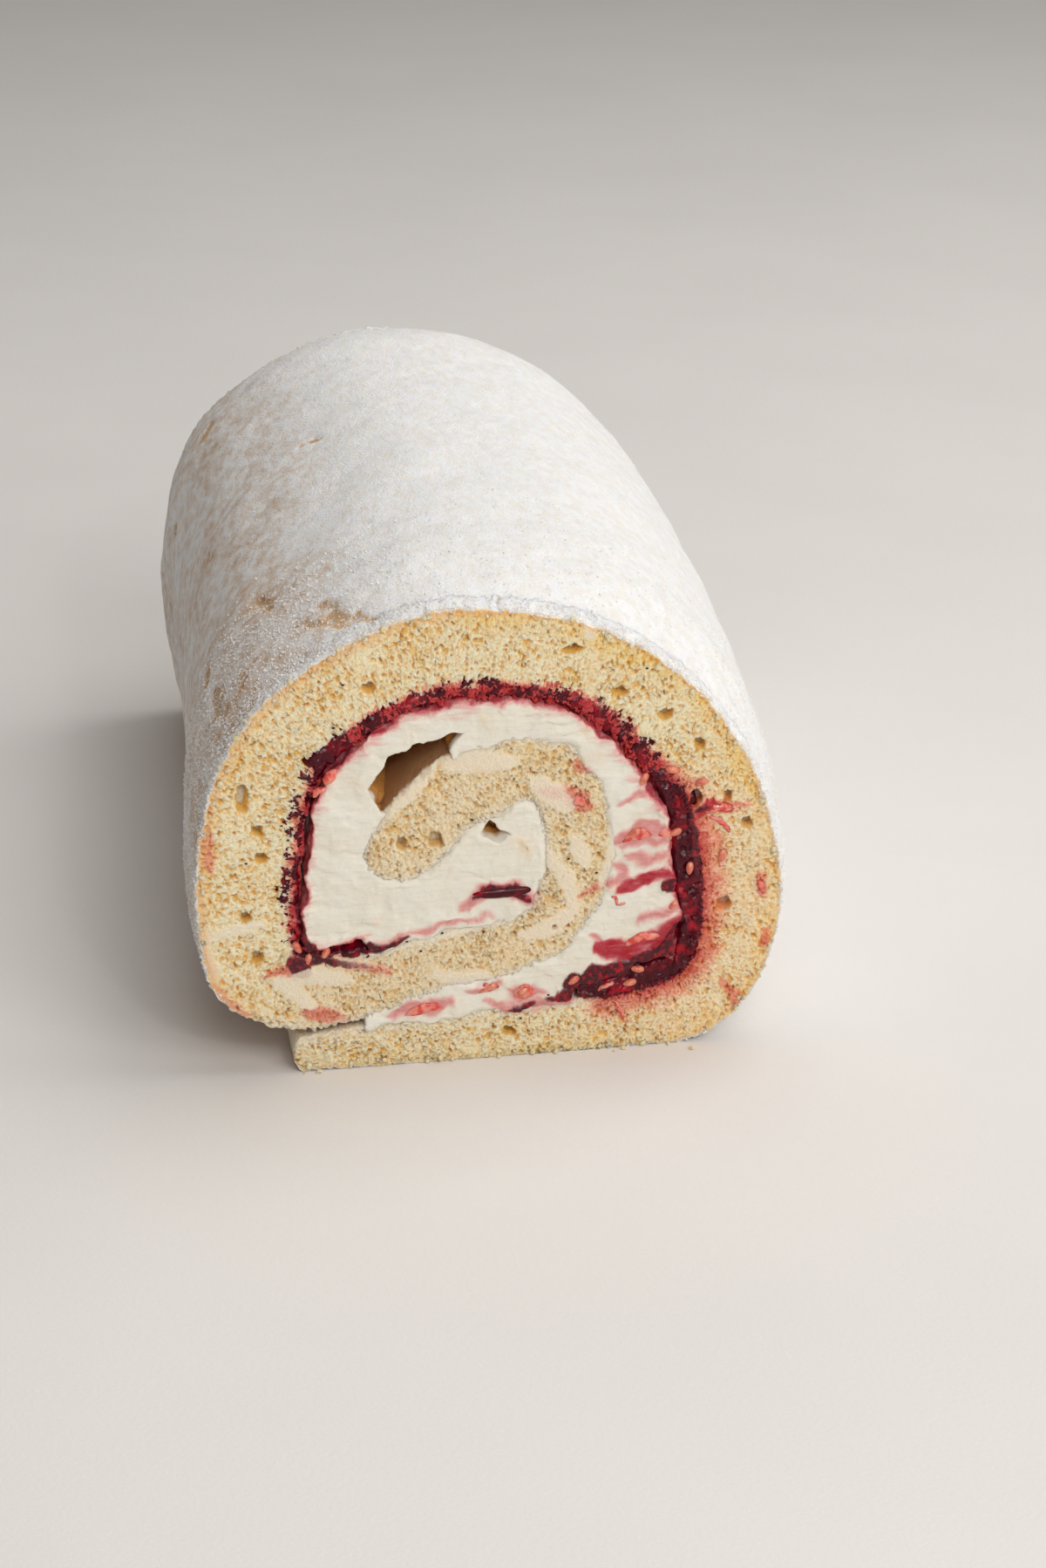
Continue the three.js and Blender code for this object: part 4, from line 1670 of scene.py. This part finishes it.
SEEDS = (  # x, z and turn in degrees
    (34.2, 45.9, 10),
    (29.2, 48.4, -15),
    (37.8, 32.8, 75),
    (29.9, 37.5, 20),
    (23.2, 37.9, 25),
    (24.6, 47.1, 60),
    (-0.6, 12.7, 15),
    (4.7, 11.4, 20),
    (13.2, 12.7, 35),
    (23.9, 13.8, -10),
    (22.6, 11.5, 10),
    (-30.4, 19.8, 80),
    (-27.6, 20.7, 60),
    (-32.1, 22.1, 120),
    (32.4, 31.0, 85),
    (29.6, 24.6, 40),
)
SEED_SIZE = (2.3, 1.25, 1.1)
RIM_CRUMBS = 90  # that cling to the edge of each cut
FALLEN_CRUMBS = 8  # that lie in front of a cut
CRUMB_IN_SHEET = {  # where a loose crumb would lie in the sheet, which sets its colour
    "from_skin": 6,
    "to_filling": 8,
    "along": 20,
    "sunk": 0.2,
    "behind": 50,
}
PULP = (  # x, z, turn in degrees, length and width
    (-11.6, 9.7, 9, 8.0, 1.7),
    (-1.0, 12.7, 14, 3.8, 1.9),
    (4.9, 11.4, 0, 3.6, 2.6),
    (24.2, 37.6, 6, 6.6, 2.3),
    (28.0, 37.4, -8, 3.4, 2.0),
    (20.2, 26.4, -58, 2.4, 0.7),
    (21.1, 25.6, 15, 1.8, 0.7),
    (-26.4, 51.0, 50, 3.4, 1.7),
    (-28.2, 48.6, 30, 2.6, 1.2),
    (24.6, 19.4, 12, 6.4, 1.5),
    (18.6, 11.3, 24, 3.0, 0.9),
    (20.9, 7.2, -60, 4.0, 0.9),
    (37.2, 41.3, 4, 5.0, 1.3),
    (37.6, 38.6, -40, 4.4, 0.8),
    (14.0, 44.0, -35, 2.6, 1.6),
    (44.6, 27.0, -70, 2.8, 0.9),
)
PULP_BEHIND = 11  # of these shreds are on the back cut too
VANILLA_SPECKS = (
    (-40.0, 37.3),
    (-24.0, 66.4),
    (-34.2, 43.3),
    (-3.5, 42.1),
    (-25.6, 59.3),
    (-22.4, 59.1),
    (-33.2, 40.8),
    (24.9, 66.0),
    (9.0, 10.4),
    (4.4, 6.6),
    (12.3, 34.2),
    (16.9, 31.4),
    (-14.3, 21.8),
    (-8.5, 22.8),
    (-1.7, 22.5),
    (-12.0, 19.9),
)
STREAK = (1.3, 29.2, 10.2, 2.0)  # x, z, width and height of the streak of jam in the heart's cream
STREAK_TILT = 0.08
STREAK_WAIST = 0.3  # share of the ball that is drawn out to the whole run
STREAK_BULGE = 0.9  # mm, at each end


def on_cut(x, z, out, end, scene):
    """Points of the straight roll over a cut: x, z and the height out of the cut in mm."""
    y = end * (scene.cake_roll.length / 2 + np.asarray(out) * MM)
    return np.stack([np.asarray(x) * MM, np.broadcast_to(y, np.shape(x)), np.asarray(z) * MM], -1)


def turned_outwards(piece):
    select_only(piece)
    bpy.ops.object.mode_set(mode="EDIT")
    face_outwards()
    return piece


def drop_at(x, z, turn, size, out, end, scene):
    """A small drop of a length, width and height, fuller at one end, half sunk in what it lies on."""
    bpy.ops.mesh.primitive_uv_sphere_add(segments=16, ring_count=12, radius=0.5)
    piece = just_added("drop")
    ball = coordinates(piece)
    fuller = 1 + 0.35 * ball[:, 2]
    run = ball[:, 2] * size[0]
    bend = 0.12 * size[0] * (np.cos(3 * ball[:, 2]) - 1) * (1 if size[0] > SEED_SIZE[0] else 0)
    aside = ball[:, 0] * size[1] * fuller + bend
    turn = math.radians(turn)
    px = x + run * math.cos(turn) - aside * math.sin(turn)
    pz = z + run * math.sin(turn) + aside * math.cos(turn)
    if bend.any():
        px, pz = wandered(px, pz, 0.35, 1.0)
    move_to(piece, on_cut(px, pz, ball[:, 1] * size[2] * fuller + out, end, scene))
    return turned_outwards(piece)


def seed_at(x, z, turn, end, scene):
    """A raspberry seed."""
    return drop_at(x, z, turn, SEED_SIZE, 0.0, end, scene)


def pulp_at(x, z, turn, run, width, end, scene):
    """A shred of raspberry."""
    return drop_at(x, z, turn, (run, width, 1.0), -0.15, end, scene)


def speck_at(x, z, end, scene):
    """A vanilla seed."""
    bpy.ops.mesh.primitive_ico_sphere_add(subdivisions=1, radius=1)
    piece = just_added("speck")
    ball = coordinates(piece) * (0.28, 0.2, 0.2)
    move_to(piece, on_cut(x + ball[:, 0], z + ball[:, 2], 0.05 + ball[:, 1], end, scene))
    return turned_outwards(piece)


def crumb_bit(x, z, out, size, end, rng, scene):
    """A loose crumb of sponge."""
    bpy.ops.mesh.primitive_ico_sphere_add(subdivisions=2, radius=0.5)
    piece = just_added("bit")
    ball = coordinates(piece)
    shift = rng.uniform(0, 50, 3)
    push = turbulence(ball * 2.5 + shift, 2)
    ball = (ball * rng.uniform(0.7, 1.3, 3) + 0.3 * push) * size
    move_to(piece, on_cut(x + ball[:, 0], z + ball[:, 2], out + ball[:, 1], end, scene))
    return turned_outwards(piece)


def loose_crumbs(name, scene):
    """Crumbs that the knife left on the edges of both cuts and in front of them."""
    rng = np.random.default_rng(3)
    bits = []
    for end in (FRONT, BACK):
        along = rng.uniform(2 * MM, EXPOSED_TO, RIM_CRUMBS)
        spots = SHEET.place(along, -sponge_half(along) + rng.uniform(-0.1, 1.4, RIM_CRUMBS) * MM) / MM
        for x, z in spots:
            size = rng.uniform(0.35, 1.1)
            bits.append(crumb_bit(x, max(z, size / 2), rng.uniform(-0.3, 0.3), size, end, rng, scene))
        for _ in range(FALLEN_CRUMBS):
            size = rng.uniform(0.3, 0.8)
            out = min(rng.exponential(1.2), 3.5) + size / 2
            bits.append(crumb_bit(rng.uniform(-35, 40), 0.4 * size, out, size, end, rng, scene))
    piece = join_as(name, bits)
    for attribute, value in CRUMB_IN_SHEET.items():
        store(piece, attribute, np.full(len(piece.data.vertices), value))
    return piece


def seed_material():
    material, tree, shader, place = new_material(
        "Seed",
        Roughness=0.3,
        Subsurface_Weight=0.3,
        Subsurface_Radius=(1.0, 0.4, 0.2),
        Subsurface_Scale=0.0006,
        Coat_Weight=0.5,
    )
    mottle = tree.ease(tree.noise(place, 0.8, 2), 0.3, 0.7)
    shade = tree.mix(mottle, tone(228, 146, 112), tone(204, 92, 76))
    tree.fill(shader.inputs["Base Color"], shade)
    bumped(tree, shader, tree.cells(place, 0.35), 0.0001, 0.7)
    return material


def pulp_material():
    """Bright, wet, translucent raspberry."""
    material, tree, shader, place = new_material(
        "Raspberry pulp",
        Roughness=0.22,
        Specular_IOR_Level=0.3,
        Subsurface_Weight=0.7,
        Subsurface_Radius=(1.0, 0.25, 0.2),
        Subsurface_Scale=0.0012,
        Coat_Weight=0.2,
    )
    mottle = tree.ease(tree.noise(place, 1.2, 3), 0.35, 0.62)
    shade = tree.mix(mottle, tone(212, 70, 64), tone(238, 150, 132))
    tree.fill(shader.inputs["Base Color"], shade)
    bumped(tree, shader, tree.noise(place, 0.7, 3), 0.0002, 0.5)
    return material


def speck_material():
    material, tree, shader, place = new_material("Vanilla", Roughness=0.5)
    shade = tree.mix(tree.noise(place, 0.2, 1), tone(34, 22, 16), tone(70, 44, 30))
    tree.fill(shader.inputs["Base Color"], shade)
    return material


class CAKE_OT_streak(Operator):
    """Make the streak of jam that runs through the cream at the heart"""

    bl_idname = "cake.streak"
    bl_label = "Streak of jam"

    def execute(self, context):
        scene = context.scene
        x, z, width, height = STREAK
        bpy.ops.mesh.primitive_uv_sphere_add(segments=96, ring_count=96, radius=1)
        piece = just_added("jam_streak_run")
        across, back, up = coordinates(piece).T
        run = scene.cake_roll.length / 2 / MM - 0.1
        y = np.sign(back) * run + back * STREAK_BULGE
        y = np.where(np.abs(back) < STREAK_WAIST, back / STREAK_WAIST * run, y)
        tilted = z + up * height / 2 + STREAK_TILT * across
        move_to(piece, np.stack([x + across * width / 2, y, tilted], -1) * MM)
        turned_outwards(piece)
        settle_and_dress(piece, bpy.data.materials["Raspberry jam"], "jam", "jam_streak")
        return {"FINISHED"}


class CAKE_OT_seeds(Operator):
    """Make the raspberry seeds and the vanilla specks"""

    bl_idname = "cake.seeds"
    bl_label = "Seeds and specks"

    def execute(self, context):
        scene = context.scene
        seeds = [seed_at(*seed, FRONT, scene) for seed in SEEDS]
        seeds += [seed_at(*elsewhere(x, z), turn + 30, BACK, scene) for x, z, turn in SEEDS[::2]]
        settle_and_dress(join_as("seeds", seeds), seed_material(), "seed")
        pulp = [pulp_at(*shred, FRONT, scene) for shred in PULP]
        pulp += [pulp_at(*elsewhere(x, z), *shred, BACK, scene) for x, z, *shred in PULP[:PULP_BEHIND]]
        settle_and_dress(join_as("raspberry_pulp", pulp), pulp_material(), "jam")
        specks = [speck_at(x, z, end, scene) for x, z in VANILLA_SPECKS for end in (FRONT, BACK)]
        settle_and_dress(join_as("vanilla_specks", specks), speck_material(), "seed")
        settle_and_dress(loose_crumbs("loose_crumbs", scene), bpy.data.materials["Sponge"], "sponge")
        return {"FINISHED"}


# ---------------------------------------------------------------- stage


CAMERA_PLACE = (-0.06277, -0.67469, 0.27113)
CAMERA_TURN = (math.radians(90 - 20.8), 0, math.radians(-6.4))
LIGHTS = (  # name, place, what it looks at, size, power and colour
    ("Window", (0.58, 0.1, 0.82), (0, -0.02, 0.03), (0.9, 0.9), 4.4, (1.0, 0.985, 0.965)),
    ("Skylight", (0.15, 0.2, 1.1), (0, 0, 0.05), (0.9, 0.9), 2.4, (1.0, 0.99, 0.98)),
    ("Front fill", (0.4, -1.1, 0.72), (0, -0.05, 0.03), (1.1, 0.8), 9.5, (1.0, 0.98, 0.95)),
    ("Lamp", (0.22, -0.95, 0.62), (0, -0.09, 0.04), (0.07, 0.07), 0.8, (1.0, 1.0, 1.0)),
)
ROOM_LIGHT = 0.26


def area_light(name, place, aim, size, power, warmth):
    """A soft rectangular light that looks at a point."""
    data = bpy.data.lights.new(name, "AREA")
    data.shape = "RECTANGLE"
    data.size, data.size_y = size
    data.energy = power
    data.color = warmth
    lamp = bpy.data.objects.new(name, data)
    bpy.context.scene.collection.objects.link(lamp)
    lamp.location = place
    towards = np.array(aim) - np.array(place)
    lamp.rotation_mode = "QUATERNION"
    lamp.rotation_quaternion = Vector(towards).to_track_quat("-Z", "Y")


def pale_floor(stage):
    """The plain floor that the cake rests on."""
    bpy.ops.mesh.primitive_plane_add(size=8, location=(0, 2, 0))
    floor = just_added("floor")
    bpy.ops.object.transform_apply(location=True)
    material, tree, shader, place = new_material("Pale floor", Roughness=0.75)
    shade = tree.mix(tree.noise(place, 60, 4), tuple(stage.floor), tone(226, 223, 220))
    tree.fill(shader.inputs["Base Color"], shade)
    bumped(tree, shader, tree.noise(place, 0.8, 3), 0.0002, 0.3)
    floor.data.materials.append(material)


def room(scene):
    """The even light of the room."""
    world = bpy.data.worlds.new("Room")
    scene.world = world
    world.use_nodes = True
    background = world.node_tree.nodes["Background"]
    background.inputs["Color"].default_value = (*tone(232, 228, 222), 1)
    background.inputs["Strength"].default_value = ROOM_LIGHT


def main_camera(scene):
    """The camera that looks down at the front cut."""
    data = bpy.data.cameras.new("Camera")
    data.sensor_fit = "AUTO"
    data.sensor_width = 36
    data.lens = scene.cake_stage.lens
    camera = bpy.data.objects.new("Camera", data)
    scene.collection.objects.link(camera)
    camera.location = CAMERA_PLACE
    camera.rotation_euler = CAMERA_TURN
    scene.camera = camera


class CAKE_OT_stage(Operator):
    """Make the pale floor, the soft studio light and the camera"""

    bl_idname = "cake.stage"
    bl_label = "Stage"

    def execute(self, context):
        scene = context.scene
        pale_floor(scene.cake_stage)
        for light in LIGHTS:
            area_light(*light)
        room(scene)
        main_camera(scene)
        scene.view_settings.view_transform = "Standard"
        return {"FINISHED"}


# ---------------------------------------------------------------- panel and run


OPERATORS = (
    CAKE_OT_sponge,
    CAKE_OT_sugar,
    CAKE_OT_cream,
    CAKE_OT_jam,
    CAKE_OT_streak,
    CAKE_OT_seeds,
    CAKE_OT_stage,
)


class CAKE_PT_panel(Panel):
    bl_idname = "CAKE_PT_panel"
    bl_label = "Swiss roll cake"
    bl_space_type = "VIEW_3D"
    bl_region_type = "UI"
    bl_category = "Cake"

    def draw(self, context):
        for name, group in SETTINGS.items():
            box = self.layout.box()
            box.label(text=group.__doc__)
            for key in group.__annotations__:
                box.prop(getattr(context.scene, name), key)
        for operator in OPERATORS:
            self.layout.operator(operator.bl_idname)


CLASSES = (*SETTINGS.values(), *OPERATORS, CAKE_PT_panel)


def register():
    for each in CLASSES:
        bpy.utils.register_class(each)
    for name, group in SETTINGS.items():
        setattr(bpy.types.Scene, name, PointerProperty(type=group))


def unregister():
    for name in SETTINGS:
        delattr(bpy.types.Scene, name)
    for each in reversed(CLASSES):
        bpy.utils.unregister_class(each)


def main():
    register()
    bpy.ops.cake.sponge()
    bpy.ops.cake.sugar()
    bpy.ops.cake.cream()
    bpy.ops.cake.jam()
    bpy.ops.cake.streak()
    bpy.ops.cake.seeds()
    bpy.ops.cake.stage()


if __name__ == "__main__":
    main()
